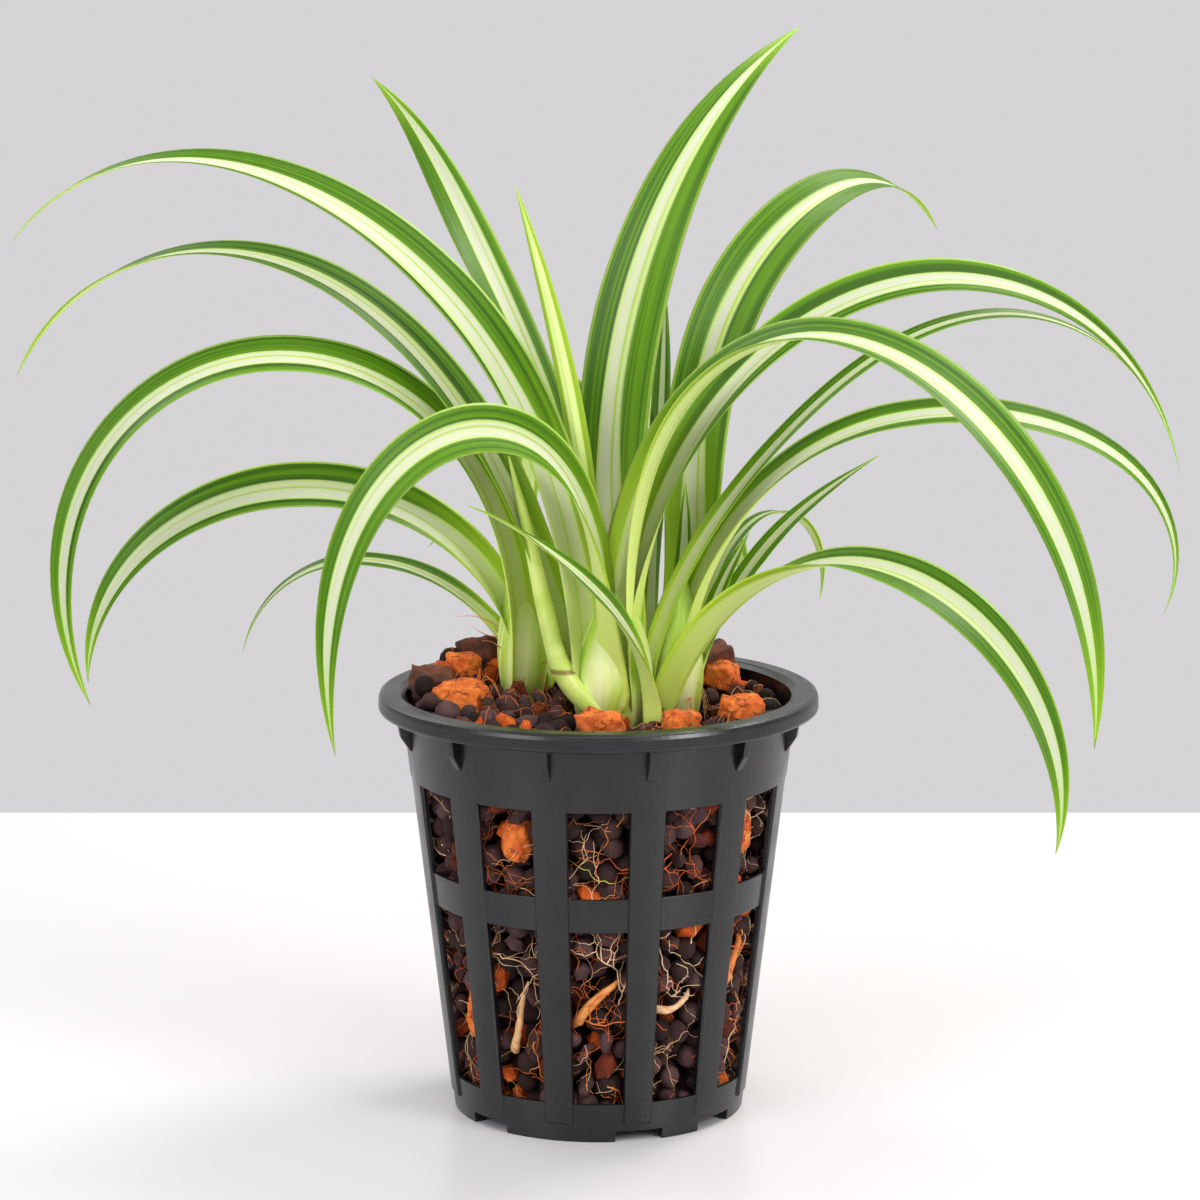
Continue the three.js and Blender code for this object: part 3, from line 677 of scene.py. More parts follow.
LEAVES = {
    # crown, foot, length, width, heading, climb, roll in degrees; band is the pale band's place and half
    # width as shares of the blade, and how much darker or paler its greens are
    "left_top": ("centre", (-3, -9.5), 258, 15, (185, 177, 174), (90, 72, 44, 7, -54), (-80, -50, 10),
                 (0.32, 0.46, 0.25)),
    "left_second": ("centre", (-6.5, -2), 243, 15.5, (170, 168, 167), (77, 65, 37, -11, -64), (-25, -25, 15),
                    (0.1, 0.34, 0.05)),
    "left_third": ("left", (-23.5, 9.5), 255, 17, (211, 188, 184), (94, 58, -1, -64, -115), (-80, -30, -80),
                   (0.05, 0.36, 0.15)),
    "left_fourth": ("left", (-23, 16), 178, 16, (182, 178, 178), (87, 39, -3, -42, -92), (-40, -48, -68),
                    (0.15, 0.44, 0.05)),
    "left_low": ("left", (-22, 22), 106, 9.5, (167, 167, 164), (63, 36, 4, -35, -77), (-15, -15, -25),
                 (0.0, 0.35, 0.2)),
    "front_left": ("centre", (1, -14.5), 212, 14.5, (244, 220, 232), (89, 67, -1, -65, -105), (-45, -65, -15),
                   (0.0, 0.36, 0.5)),
    "front_small": ("centre", (13, -16), 93, 10, (240, 220, 212), (86, 57, 41, 34, 23), (-45, -45, 20),
                    (0.0, 0.4, 0.6)),
    "upright_left": ("centre", (-2, -2), 198, 18.5, (124, 129, 130), (70, 77, 54, 51, 26), (20, 15, -80),
                     (-0.18, 0.36, 0.4)),
    "upright_small": ("centre", (1, -7), 143, 6.5, (184, 180, 168), (87, 85, 81, 76, 72), (60, 75, 75),
                      (0.0, 0.3, 0.7)),
    "upright_tall": ("centre", (8.5, 3.5), 220, 21, (2, 50, 50), (98, 92, 67, 39, 22), (90, 50, 30),
                     (0.04, 0.28, 0.3)),
    "back_upright": ("right", (15, 6.5), 116, 9, (90, 82, 88), (86, 73, 68, 72, 67), (-35, -40, 0),
                     (0.0, 0.3, 0.4)),
    "right_top": ("right", (20, 10.5), 222, 19, (39, 48, 53), (63, 90, 50, 9, -47), (10, 50, 5),
                  (0.0, 0.26, 0.45)),
    "right_second": ("centre", (10.5, -5), 257, 12.5, (7, 12, 16), (94, 65, 24, -27, -77), (0, 50, 40),
                     (-0.14, 0.38, 0.25)),
    "front_right": ("centre", (8.5, -11), 284, 21, (-22, -39, -47), (93, 65, -3, -48, -97), (75, 10, 40),
                    (-0.12, 0.36, 0.2)),
    "right_slim": ("centre", (13.5, -2.5), 227, 7.5, (12, 17, 35), (83, 54, 32, -15, -63), (40, 20, 30),
                   (0.0, 0.3, 0.4)),
    "right_third": ("right", (23.5, 2), 216, 14, (12, 4, 2), (88, 51, 7, -32, -115), (0, 25, 40),
                    (0.0, 0.38, 0.3)),
    "right_behind": ("right", (27, 7), 87, 7, (18, 23, 23), (78, 62, 47, 33, 27), (15, 25, 15),
                     (0.0, 0.35, 0.6)),
    "right_short": ("right", (25, 4.5), 47, 5.5, (19, 21, 30), (78, 72, 70, 60, 56), (25, 40, 45),
                    (0.0, 0.35, 0.9)),
    "back_right_small": ("right", (23.5, 11.5), 97, 7, (41, 41, 39), (67, 66, 32, -42, -107), (5, -5, -5),
                         (0.0, 0.3, 0.7)),
    "right_low": ("right", (20.5, -6), 188, 16, (-36, -40, -26), (67, 32, -10, -53, -103), (-20, 20, 50),
                  (0.05, 0.36, 0.35)),
    "centre_short": ("right", (20, -0.5), 59, 6.5, (70, 67, 75), (91, 75, 70, 87, 88), (-30, -20, 20),
                     (0.0, 0.5, 1.0)),
    "back_left": ("centre", (0, 7.5), 187, 15, (100, 104, 109), (80, 68, 14, -64, -109), (20, -5, 0),
                  (0.0, 0.33, 0.3)),
    "back_right": ("centre", (6.5, 8), 190, 11, (86, 83, 76), (90, 75, 5, -40, -81), (15, -10, 30),
                   (0.0, 0.3, 0.4)),
    "back_left_small": ("left", (-15.5, 19), 69, 10, (128, 128, 131), (73, 36, 49, 6, -40), (35, 0, -45),
                        (0.0, 0.36, 0.6)),
    "back_right_short": ("right", (24, 15), 81, 11, (64, 69, 67), (78, 60, 34, -37, -101), (15, 15, 15),
                         (0.0, 0.33, 0.5)),
}

# %% From a leaf's numbers to its line
def even_curve(values):
    """The natural cubic curve through values at even steps from 0 to 1."""
    n = len(values) - 1
    bend, sweep = [0.0] * (n + 1), [0.0] * (n + 1)
    for i in range(1, n):
        below = sweep[i - 1] + 4
        sweep[i] = -1 / below
        bend[i] = (6 * (values[i + 1] - 2 * values[i] + values[i - 1]) - bend[i - 1]) / below
    for i in range(n - 1, 0, -1):
        bend[i] += sweep[i] * bend[i + 1]

    def at(x):
        i = min(int(x * n), n - 1)
        b = x * n - i
        a = 1 - b
        return a * values[i] + b * values[i + 1] + ((a ** 3 - a) * bend[i] + (b ** 3 - b) * bend[i + 1]) / 6
    return at


def leaf_line(crown, foot, length, heading, climb, roll):
    """The leaf's places, with the blade's own directions at each: across and up."""
    heading, climb, roll = even_curve(heading), even_curve(climb), even_curve(roll)

    def direction(s):
        e, a = math.radians(climb(s)), math.radians(heading(s))
        return Vector((math.cos(e) * math.cos(a), math.cos(e) * math.sin(a), math.sin(e)))

    (x, y), (cx, cy), (rx, ry) = foot, crown["at"], crown["size"]
    out = ((x - cx) / rx) ** 2 + ((y - cy) / ry) ** 2
    at = Vector((x, y, crown["top"] - CROWN_DROP * out - FOOT_SINK)) - direction(0) * FOOT_ROOT
    whole = length + FOOT_ROOT
    line = []
    for i in range(STATIONS + 1):
        s = max(0.0, (i / STATIONS * whole - FOOT_ROOT) / length)
        a = math.radians(heading(s))
        along = direction(s)
        level = Vector((-math.sin(a), math.cos(a), 0))
        across = Matrix.Rotation(math.radians(roll(s)), 3, along) @ level
        line.append((at * MM, across, along.cross(across)))
        at = at + direction(min(s + 0.5 / STATIONS, 1)) * (whole / STATIONS)
    return line

# %% [markdown]
# ## One blade from one rule
# Every blade is the same shape with its own numbers, so a Geometry Nodes tree makes it: a grid whose long
# side runs along the leaf's line and whose short side runs round the blade's section, over the top and
# back under it. The section is a shallow fold that is thick at its rib and thin at its margins. The leaf's
# width swells from its foot and tapers to its tip, and a slow ripple keeps the margins from looking cut.

# %% The blade's tree
BLADE, inp, out = geometry_tree("Blade", {
    "Width": 0.016, "Foot Share": 0.5, "Widest": 0.38, "Fold At Foot": math.radians(52),
    "Fold": math.radians(14), "Rib At Foot": 0.0021, "Rib": 0.0011, "Edge": 0.0005, "Fullness": 2.2,
    "Ripple": 0.00035, "Seed": 0.0, "Columns": 29, "Rows": STATIONS + 1, "Band": VECTOR})
grid = add(BLADE, "GeometryNodeMeshGrid", {
    "Size X": 1.0, "Size Y": 1.0, "Vertices X": inp["Rows"], "Vertices Y": inp["Columns"]})
where = split(add(BLADE, "GeometryNodeInputPosition"))
s = clamped(where[0] + 0.5)  # the share of the leaf's length
turn = clamped(where[1] + 0.5)  # the share of the way round the section
side = 1.0 - abs(turn * 4.0 - 2.0)  # across the blade, from -1 to 1 and back
below = maths("GREATER_THAN", turn, 0.5)
# Half the width: it swells up to the widest place, then tapers. The foot is rounded off and shut.
swell = maths("SINE", clamped(s / inp["Widest"]) * (math.pi / 2))
swell = (1.0 - inp["Foot Share"]) * swell + inp["Foot Share"]
taper = 1.0 - clamped((s - inp["Widest"]) / (1.0 - inp["Widest"])) ** inp["Fullness"]
closed = maths("SQRT", clamped(s * (STATIONS / 2.5)))
half = inp["Width"] * 0.5 * (swell * taper) * closed
# The thickness: from the rib to the edge across the blade, and thinner towards the tip.
rib = between(s, between(clamped(s / 0.3), inp["Rib At Foot"], inp["Rib"]), inp["Edge"])
squared = side * side
lens = maths("SQRT", clamped(1.0 - squared))
depth = between(abs(side), rib, inp["Edge"]) * lens * (taper ** 0.35 * closed * (1.0 - below * 2.0))
# The fold's height, with its bottom rounded, plus the ripple.
fold = between(clamped(s * 2.0), inp["Fold At Foot"], inp["Fold"])
lift = half * maths("SINE", fold) * (maths("SQRT", squared + 0.02) - 0.1414)
wave = noise_at(combined(s * 7.0, side * 0.8, inp["Seed"]), detail=1.0)
wave = (wave - 0.5) * (inp["Ripple"] * 2.0) * (taper * squared)
lift = lift + wave + depth * 0.5
reach = side * half * maths("COSINE", fold)
line = then(inp["Geometry"], "MeshToCurve")


def along_line(name):
    """Reads the line's stored direction at the share s of its length, and the place there."""
    inputs = {"Curves": line, "Value": named(BLADE, name, "FLOAT_VECTOR"), "Factor": s}
    return add(BLADE, "GeometryNodeSampleCurve", inputs, "Value", data_type="FLOAT_VECTOR", mode="FACTOR",
               use_all_curves=True)


across, up = along_line("across"), along_line("up")
target = moved(moved(across["Position"], scaled(across, reach)), scaled(up, lift))
blade = stored(grid, "UVMap", combined(turn, s), "FLOAT2", "CORNER")
blade = stored(blade, "band", inp["Band"], "FLOAT_VECTOR")
blade = then(blade, "SetPosition", {"Position": target})
blade = then(blade, "MergeByDistance", {"Distance": 0.01 * MM})
end_tree(then(blade, "SetShadeSmooth"), inp, out)

# %% [markdown]
# ## The variegated finish
# Across the blade there are green margins and a cream band down the middle, with thin green lines at the
# band's edges and inside it, because the leaf's veins run straight along it. Near the foot the greens fade to
# pale yellow-green, near the tip the band closes, and the underside is paler with a wider band. The foot and
# the underside are partly their own pale colour and partly painted light: a painted glow for light through
# the thin blade, and on the underside a lighter cream that offsets its shade. A thin pale line along each
# margin is a painted highlight. The UV map runs round the section and along the leaf, so the pattern follows
# every bend.

# %% Shader group: Variegation
VARIEGATION, inp, out = group(
    "Variegation", "ShaderNodeTree",
    {"Turn": 0.0, "Along": 0.0, "Drift": 0.0, "Half Width": 0.33, "Tone": 0.4, "Deep Green": COLOUR,
     "Fresh Green": COLOUR, "Cream": COLOUR, "Base": COLOUR},
    {"Color": COLOUR, "Height": FLOAT, "Green": FLOAT})
YELLOW_GREEN = colour(150, 190, 40)
along = inp["Along"]
side = 1.0 - abs(inp["Turn"] * 4.0 - 2.0)
below = maths("GREATER_THAN", inp["Turn"], 0.5)
root = ramp(along, 0.06, 0.42, 1.0, 0.0)
tip = ramp(along, 0.84, 1.0)
fade = ramp(along, 0.5, 0.92, 1.0, 0.2)  # fine lines lie too close to be seen near the tip


def streaks(cycles, run, shift, detail=2.0):
    """Noise that is long along the leaf and narrow across it."""
    own = inp["Tone"] * 31.7 + (inp["Drift"] * 17.0 + shift)
    return noise_at(combined(side * cycles, along * run, own), detail=detail)


def line_at(distance, full, gone):
    """A mask that is full at a line and gone a little way off it."""
    return ramp(abs(distance), full, gone, 1.0, 0.0)


fine, broad = streaks(24.0, 1.5, 3.0), streaks(7.0, 1.2, 9.0)
# The band's edge wanders a little. It is wider at the foot and underneath, and closes at the tip.
off = (streaks(9.0, 2.0, 0.0) - 0.5) * 0.1 + abs(side - inp["Drift"])
edge = (below * 0.24 + (root * 0.38 + inp["Half Width"])) * (1.0 - tip * 0.4)
green = ramp(off - edge, -0.045, 0.03)
greens = mixed(ramp((fine - 0.5) * (fade * 0.5) + broad, 0.34, 0.68), inp["Deep Green"], inp["Fresh Green"])
# The third layer is a thin pale line along each margin, a painted highlight on the blade's edge.
greens = painted(greens, (inp["Tone"] * 0.5, inp["Fresh Green"]), (root * 0.6, YELLOW_GREEN),
                 (ramp(abs(side), 0.88, 0.96) * (fade * 0.6), colour(172, 204, 96)))
veins = ramp(streaks(21.0, 0.8, 5.0, 1.0), 0.56, 0.68)
# The underside's cream is paler than the top's. Part of that is its own paler colour, and part is painted
# light that offsets the shade the underside gets.
pale = painted(mixed(below, inp["Cream"], colour(216, 222, 184)),
               (veins * (fade * 0.55), colour(190, 210, 96)),
               (line_at(side - (inp["Drift"] - 0.12), 0.02, 0.065) * (fade * 0.8), colour(152, 182, 28)),
               (line_at(off - edge + 0.05, 0.0, 0.07) * 0.75, colour(168, 200, 60)))
# The underside's yellow-green and the foot's pale Base colour are partly the leaf's own colour and partly a
# painted glow, for light shining through the thin blade.
whole = painted(pale, (green, greens), (below * 0.42, colour(200, 228, 72)),
                (ramp(along, 0.02, 0.34, 1.0, 0.0) * 0.55, inp["Base"]), (tip * 0.55, YELLOW_GREEN))
join(whole, out["Color"])
join(green, out["Green"])
# The streaks lie closer together towards the tip, so their height fades there.
join((fine * 0.6 + broad) * ramp(along, 0.45, 0.95, 1.0, 0.05), out["Height"])

leaf_finish, tree, shader = principled(
    "variegated leaf", IOR=1.4, Specular_IOR_Level=0.26, Subsurface_Weight=0.3, Subsurface_Scale=0.001,
    Subsurface_Radius=(0.7, 1.0, 0.2))
uv = split(add(tree, "ShaderNodeUVMap", uv_map="UVMap"))
band = split(attribute(tree, "band")["Vector"])
# Base is the foot's pale yellow-green, made brighter as a painted glow of light through the blade.
look = use_group(tree, VARIEGATION, Turn=uv[0], Along=uv[1], Drift=band[0], Half_Width=band[1], Tone=band[2],
                 Deep_Green=colour(38, 76, 2), Fresh_Green=colour(84, 128, 4), Cream=colour(184, 188, 166),
                 Base=colour(222, 244, 84))
finish(shader, look["Color"], look["Height"], 0.3, 0.09)
join(ramp(look["Green"], 0.0, 1.0, 0.52, 0.44), shader.inputs["Roughness"])

# %% [markdown]
# Each leaf's line is a chain of points that also carries the blade's own directions, across and up. The
# tree reads them there, so a leaf can be moved or bent by its numbers alone.

# %% Build the leaves
# Most blades are narrower at the foot than in the middle; these leave their crown as broad sheaths.
WIDE_FEET = {
    "front_left": 1.35, "right_second": 1.3, "left_top": 1.1, "front_small": 1.15, "front_right": 0.9,
    "right_third": 1.0, "right_low": 0.95, "right_slim": 1.2, "centre_short": 1.1}
NARROW_FOOT = 0.8
# How long a blade stays wide before its tip: more is fuller.
FULL_TIPS = {
    "upright_small": 3.4, "upright_tall": 1.8, "upright_left": 1.9, "left_second": 2.5, "left_top": 2.5}
USUAL_TIP = 2.2
blades = []
for number, (name, (crown, foot, length, width, heading, climb, roll, band)) in enumerate(LEAVES.items()):
    line = leaf_line(CROWNS[crown], foot, length, heading, climb, roll)
    piece = mesh_object("blade_" + name, [place for place, _, _ in line],
                        edges=[(i, i + 1) for i in range(STATIONS)])
    for key, which in (("across", 1), ("up", 2)):
        store_on_points(piece, key, [c for entry in line for c in entry[which]], "FLOAT_VECTOR", "vector")
    run_tree(piece, BLADE, {"Width": width * MM, "Foot Share": WIDE_FEET.get(name, NARROW_FOOT),
                            "Seed": number * 3.7, "Fullness": FULL_TIPS.get(name, USUAL_TIP), "Band": band,
                            "Material": leaf_finish})
    if volume(piece) < 0:
        piece.data.flip_normals()
    seat(piece, "leaf", "leaf_" + name)
    blades.append(piece)
print("leaves:", len(blades), "with", triangles(*blades), "triangles")

# %% [markdown]
# ## Brick chunks
# The chunks are broken brick: blocky, with rounded corners and rough, flaking faces. Each starts as a
# copy of its own solid, so its place and size are right. Its faces are divided, its corners are eased
# and its surface is moved in and out by noise, coarse first and then fine.

# %% The brick's finish and its chunks
brick, tree, shader = principled("broken orange brick", Roughness=0.9)
look = mottle(tree, (194, 80, 22), (230, 124, 46), 3.5, 0.4, 0.7)
crack = use_group(tree, CRACKS, Cell_Size=7.0, Width=0.045, Wander=3.2)
pit = use_group(tree, CRACKS, Cell_Size=1.9, Width=0.1, Wander=1.0)
shade = painted(look["Color"], (crack * 0.7, colour(104, 40, 16)), (pit * 0.35, colour(120, 46, 18)))
finish(shader, shade, look["Height"] - (crack * 1.4 + pit * 0.4), 0.8, 0.35)

# How rough a broken face is, as the sizes of its lumps and their depths.
ROUGHNESS = ((6.0, 1.1), (1.8, 0.55), (0.8, 0.22))
CUTS = 7  # how often each edge is divided


def roughened(name, shape, seed):
    """A closed shape with divided faces, eased corners and a rough surface."""
    bmesh.ops.remove_doubles(shape, verts=shape.verts, dist=0.01 * MM)
    bmesh.ops.subdivide_edges(shape, edges=shape.edges, cuts=CUTS, use_grid_fill=True)
    bmesh.ops.smooth_vert(shape, verts=shape.verts, factor=0.5, use_axis_x=True, use_axis_y=True,
                          use_axis_z=True)
    shape.normal_update()
    for vert in shape.verts:
        for size, depth in ROUGHNESS:
            at = vert.co / (size * MM) + Vector((seed * 3.1, seed * 1.7, 0))
            vert.co = vert.co + vert.normal * (noise.noise(at) * depth * MM)
    return object_of(name, shape)


def solid_copy(node, swell, lift):
    """A solid's shape, swelled about its own middle and lifted."""
    shape = shape_of(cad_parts[node].data)
    middle = sum((v.co for v in shape.verts), Vector()) / len(shape.verts)
    for vert in shape.verts:
        vert.co = middle + (vert.co - middle) * swell + Vector((0, 0, lift * MM))
    return shape


# The chunks on the top stand a little out of the pebbles; those in the slots keep to the wall.
TOP_SWELL, TOP_LIFT, SLOT_SWELL = 1.16, 0.8, 1.03
chunk_nodes = sorted(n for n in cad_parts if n.startswith("brick_chunk_"))
for seed, node in enumerate(chunk_nodes):
    shape = solid_copy(node, TOP_SWELL, TOP_LIFT) if "_top_" in node else solid_copy(node, SLOT_SWELL, 0)
    chunk = roughened("brick_" + node[len("brick_chunk_"):], shape, seed)
    dress(chunk, brick)
    seat(chunk, "brick", node)
print("brick chunks:", len(chunk_nodes))

# %% [markdown]
# A few brown pieces, burnt in the kiln, lie among the orange ones at the left and the back of the top.
# They have no solids of their own, so each starts as a block with skewed corners and is then roughened in
# the same way. They belong to the loose filling.

# %% Burnt pieces
burnt, tree, shader = principled("burnt brown brick", Roughness=0.9)
look = mottle(tree, (58, 30, 22), (112, 58, 40), 3.5, 0.4, 0.7)
finish(shader, look["Color"], look["Height"], 0.8, 0.3)


def block(size, place, turn):
    shape = bmesh.new()
    bmesh.ops.create_cube(shape, size=1.0)
    for vert in shape.verts:
        skew = 1 + 0.25 * noise.noise(vert.co * 3 + Vector(place))
        vert.co = Vector([c * w * skew * MM for c, w in zip(vert.co, size)])
        vert.co = Euler([math.radians(d) for d in turn]).to_matrix() @ vert.co + Vector(place) * MM
    return shape


BURNT_BLOCKS = {
    # size, place, turn in degrees
    "left": ((11, 9, 7), (-45.5, 4, 117.5), (15, 10, 30)),
    "back_left": ((13, 11, 9), (-32, 31, 120.5), (-15, 10, 60)),
    "back_right": ((13, 10, 9), (31, 33, 117), (10, -20, 20)),
    "back": ((10, 9, 7), (15, 44, 119), (25, 5, 75)),
}
for seed, (name, (size, at, turn)) in enumerate(BURNT_BLOCKS.items(), start=20):
    chunk = roughened("burnt_" + name, block(size, at, turn), seed)
    dress(chunk, burnt)
    seat(chunk, "pebbles")

# %% [markdown]
# ## Clay pebbles
# The filling is loose, so it is made as it was poured. Pebbles are set on a skin a little inside the pot's
# wall and over the mounded top, as close as they fit. A second layer behind them shows in the gaps, and
# behind that lies a dark core, which is painted shade deep in the filling. Geometry Nodes scatter them, leave
# room round the chunks, the thick roots and the crowns, give each its own size and turn, and then press them
# a little out of round.

# %% The skin that the pebbles lie against
FILL_LEVEL, FILL_BACK, FILL_LEFT = 114.0, 0.1, 0.08
GAP = 0.3


def fill_level(x, y):
    return FILL_LEVEL + FILL_BACK * y - FILL_LEFT * x


def fill_skin(name, inset, rise, steps=22, around=72):
    """A closed skin inset from the wall and from the floor, with its top moved by rise."""
    bottom = FLOOR_TOP + GAP + inset * 0.5
    edge = inside_radius(FILL_LEVEL) - GAP - inset
    rings = []
    for i in range(steps + 1):
        z = bottom + (FILL_LEVEL - 3 + rise - bottom) * i / steps
        rings.append((inside_radius(z) - GAP - inset, z))
    rings += [(edge * share, None) for share in (0.985, 0.94, 0.86, 0.74, 0.6, 0.45, 0.3, 0.15)]
    corners = []
    for radius, z in rings:
        for k in range(around):
            place = polar(radius, k * 360 / around, 0) / MM
            top = fill_level(place.x, place.y) + rise
            corners.append(Vector((place.x, place.y, top if z is None else min(z, top - 1.5))) * MM)
    return ringed(name, corners, around)


# The pebbles keep clear of these solids.
in_the_way = [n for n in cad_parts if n.startswith(("brick_", "root_", "crown_"))]
kept_clear = object_of("kept_clear", shape_of(*(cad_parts[n].data for n in in_the_way)))

# %% The pebbles' tree
PEBBLES, inp, out = geometry_tree("Pebbles", {
    "Spacing": 0.006, "Smallest": 0.003, "Largest": 0.004, "Sink": 0.0, "Fragments": 0.32, "Seed": 1,
    "Kept Clear": OBJECT, "Clearance": 0.0024, "Lumps": 0.0009})
MOST_POINTS = 400000.0  # on a square metre, before those that lie too close are dropped
spread = then(inp["Geometry"], "DistributePointsOnFaces", {
    "Distance Min": inp["Spacing"], "Density Max": MOST_POINTS, "Seed": inp["Seed"]},
    distribute_method="POISSON")


def drawn(low, high, number, kind="FLOAT"):
    """A random value for each point, the same on every run."""
    first, output = {"FLOAT": (2, 1), "FLOAT_VECTOR": (0, 0)}[kind]
    inputs = {first: low, first + 1: high, "Seed": inp["Seed"] + float(number)}
    return add(PEBBLES, "FunctionNodeRandomValue", inputs, output, data_type=kind)


# Each point gets its pebble's radius, and moves in from the skin by that much.
points = stored(spread, "pebble_radius", drawn(inp["Smallest"], inp["Largest"], 1))
size = named(PEBBLES, "pebble_radius")
points = then(points, "SetPosition", {"Offset": scaled(spread["Normal"], (size + inp["Sink"]) * -1.0)})
taken = add(PEBBLES, "GeometryNodeObjectInfo", {"Object": inp["Kept Clear"]}, "Geometry")
near = add(PEBBLES, "GeometryNodeProximity", {"Geometry": taken}, "Distance", target_element="FACES")
too_near = maths("LESS_THAN", near, inp["Clearance"])
points = then(points, "DeleteGeometry", {"Selection": too_near}, domain="POINT")
broken = maths("LESS_THAN", drawn(0.0, 1.0, 2), inp["Fragments"])
turned = drawn((0.0, 0.0, 0.0), (6.28, 6.28, 6.28), 3, "FLOAT_VECTOR")


def set_out(detail, smooth, selection, low, high, number, tones):
    """Puts a ball of this detail on the selected points, with its own size, turn and tone on each."""
    ball = add(PEBBLES, "GeometryNodeMeshIcoSphere", {"Radius": 1.0, "Subdivisions": detail})
    placed = then(points, "InstanceOnPoints", {
        "Selection": selection, "Instance": then(ball, "SetShadeSmooth", {"Shade Smooth": smooth}),
        "Rotation": turned, "Scale": scaled(drawn(low, high, number, "FLOAT_VECTOR"), size)})
    return stored(placed, "tone", drawn(*tones, number + 10), domain="INSTANCE")


both = add(PEBBLES, "GeometryNodeJoinGeometry")
for kind in (set_out(2, True, 1.0 - broken, (0.9, 0.9, 0.86), (1.06, 1.06, 1.06), 4, (0.0, 0.78)),
             set_out(1, False, broken, (1.0, 0.8, 0.55), (1.9, 1.25, 0.95), 5, (0.4, 1.0))):
    join(kind, both.socket.node.inputs[0])
end_tree(lumpy(then(both, "RealizeInstances"), 0.4, 1.0, inp["Lumps"]), inp, out)

# %% [markdown]
# ### Fired clay
# The pebbles are dark purple-brown with a matte, dusty, finely pitted skin. Each one has its own tone, which
# the tree stored as an attribute: most are dark, some are greyer, a few are reddish and the rarest are
# orange brick crumbs.

# %% The pebbles' finish
def toned(tree, stops):
    """The tone that is stored on a piece, from 0 to 1, as a colour."""
    tones = add(tree, "ShaderNodeValToRGB", {0: attribute(tree, "tone")["Fac"]})
    elements = tones.socket.node.color_ramp.elements
    for position, _ in stops[1:-1]:
        elements.new(position)
    for element, (position, shade) in zip(elements, stops):
        element.position, element.color = position, colour(*shade)
    return tones


CLAY_TONES = [(0.0, (32, 17, 15)), (0.35, (52, 32, 30)), (0.6, (74, 50, 49)), (0.74, (90, 66, 67)),
              (0.8, (86, 34, 18)), (0.9, (120, 48, 20)), (0.93, (190, 78, 20)), (1.0, (222, 104, 34))]
clay, tree, shader = principled("dark fired clay", Roughness=0.88, Specular_IOR_Level=0.25)
look = mottle(tree, (120, 112, 112), (255, 250, 248), 2.6, 0.3, 0.9)
finish(shader, mixed(0.6, toned(tree, CLAY_TONES), look["Color"], "MULTIPLY"), look["Height"], 0.7, 0.22)

painted_shade_core, tree, shader = principled("shade between the pebbles", Roughness=1.0, Specular_IOR_Level=0.1)
look = mottle(tree, (6, 3, 2), (16, 8, 6), 3.0, 0.8, 0.5)
finish(shader, look["Color"], look["Height"], 0.6, 0.5)

# %% Pour the pebbles
pebbles = fill_skin("clay_pebbles", 0.25, 1.4)
run_tree(pebbles, PEBBLES, {"Spacing": 5.3 * MM, "Smallest": 2.4 * MM, "Largest": 3.9 * MM, "Seed": 4,
                            "Kept Clear": kept_clear, "Material": clay})
behind = fill_skin("clay_pebbles_behind", 4.6, -3.2)
run_tree(behind, PEBBLES, {"Spacing": 6.0 * MM, "Smallest": 3.0 * MM, "Largest": 3.8 * MM, "Seed": 9,
                           "Kept Clear": kept_clear, "Clearance": 1.2 * MM, "Material": clay})
# A dark sheet deep inside the filling: painted shade that shows through the gaps between the pebbles.
core = fill_skin("pebble_core", 9.0, -7.0)
dress(core, painted_shade_core, smooth=False)
seat(pebbles, "pebbles", "growing_medium")
seat(behind, "pebbles")
seat(core, "pebbles")
print("pebble triangles:", triangles(pebbles), triangles(behind))

# %% [markdown]
# ## Crowns
# At its foot each fan of leaves is a short fleshy bulb of leaf bases that clasp each other. The bulb swells
# out of the pebbles and narrows up between the leaves, and each leaf base laps over the next one. How far
# a point lies across its sheath is stored as an attribute, which gives it a pale middle and green sides.

# %% Build the crowns
crown_finish, tree, shader = principled("fleshy pale green", Roughness=0.42)
place = object_millimetres(tree)
height = split(place)[2]
fleck = noise_at(add(tree, "ShaderNodeMapping", {"Vector": place, "Scale": (0.5, 0.5, 0.05)}))
off = (fleck - 0.5) * 0.7 + abs(attribute(tree, "sheath")["Fac"] * 2.0 - 1.0)
flesh = mixed(ramp(off, 0.15, 0.9), colour(238, 246, 176), colour(182, 214, 74))
# Browner in the pebbles, greener between the leaves, and darker where two sheaths meet, which is painted
# shade in the crease between them.
flesh = painted(flesh, (ramp(height, 112.0, 121.0, 0.55, 0.0), colour(150, 142, 60)),
                (ramp(height, 122.0, 144.0, 0.0, 0.7), colour(170, 204, 66)),
                (ramp(off, 0.96, 1.12) * 0.35, colour(130, 166, 48)))
finish(shader, flesh, fleck, 0.4, 0.3)

# The bulb's outline: the share of the crown's half width, and the height over the crown's top.
BULB = [(0.3, -20), (0.5, -14), (0.7, -8), (0.84, -2), (0.92, 4), (0.9, 10), (0.8, 16), (0.64, 22),
        (0.46, 27), (0.27, 31), (0.08, 34)]
BULB_RINGS, BULB_SHARE, BULB_TWIST, BULB_SINK = 40, 1.02, 80, 2
# How many leaf bases clasp each bulb, and the turn of the first one in degrees.
SHEATHS = {"centre": (4, 78), "left": (3, 172), "right": (4, 305)}


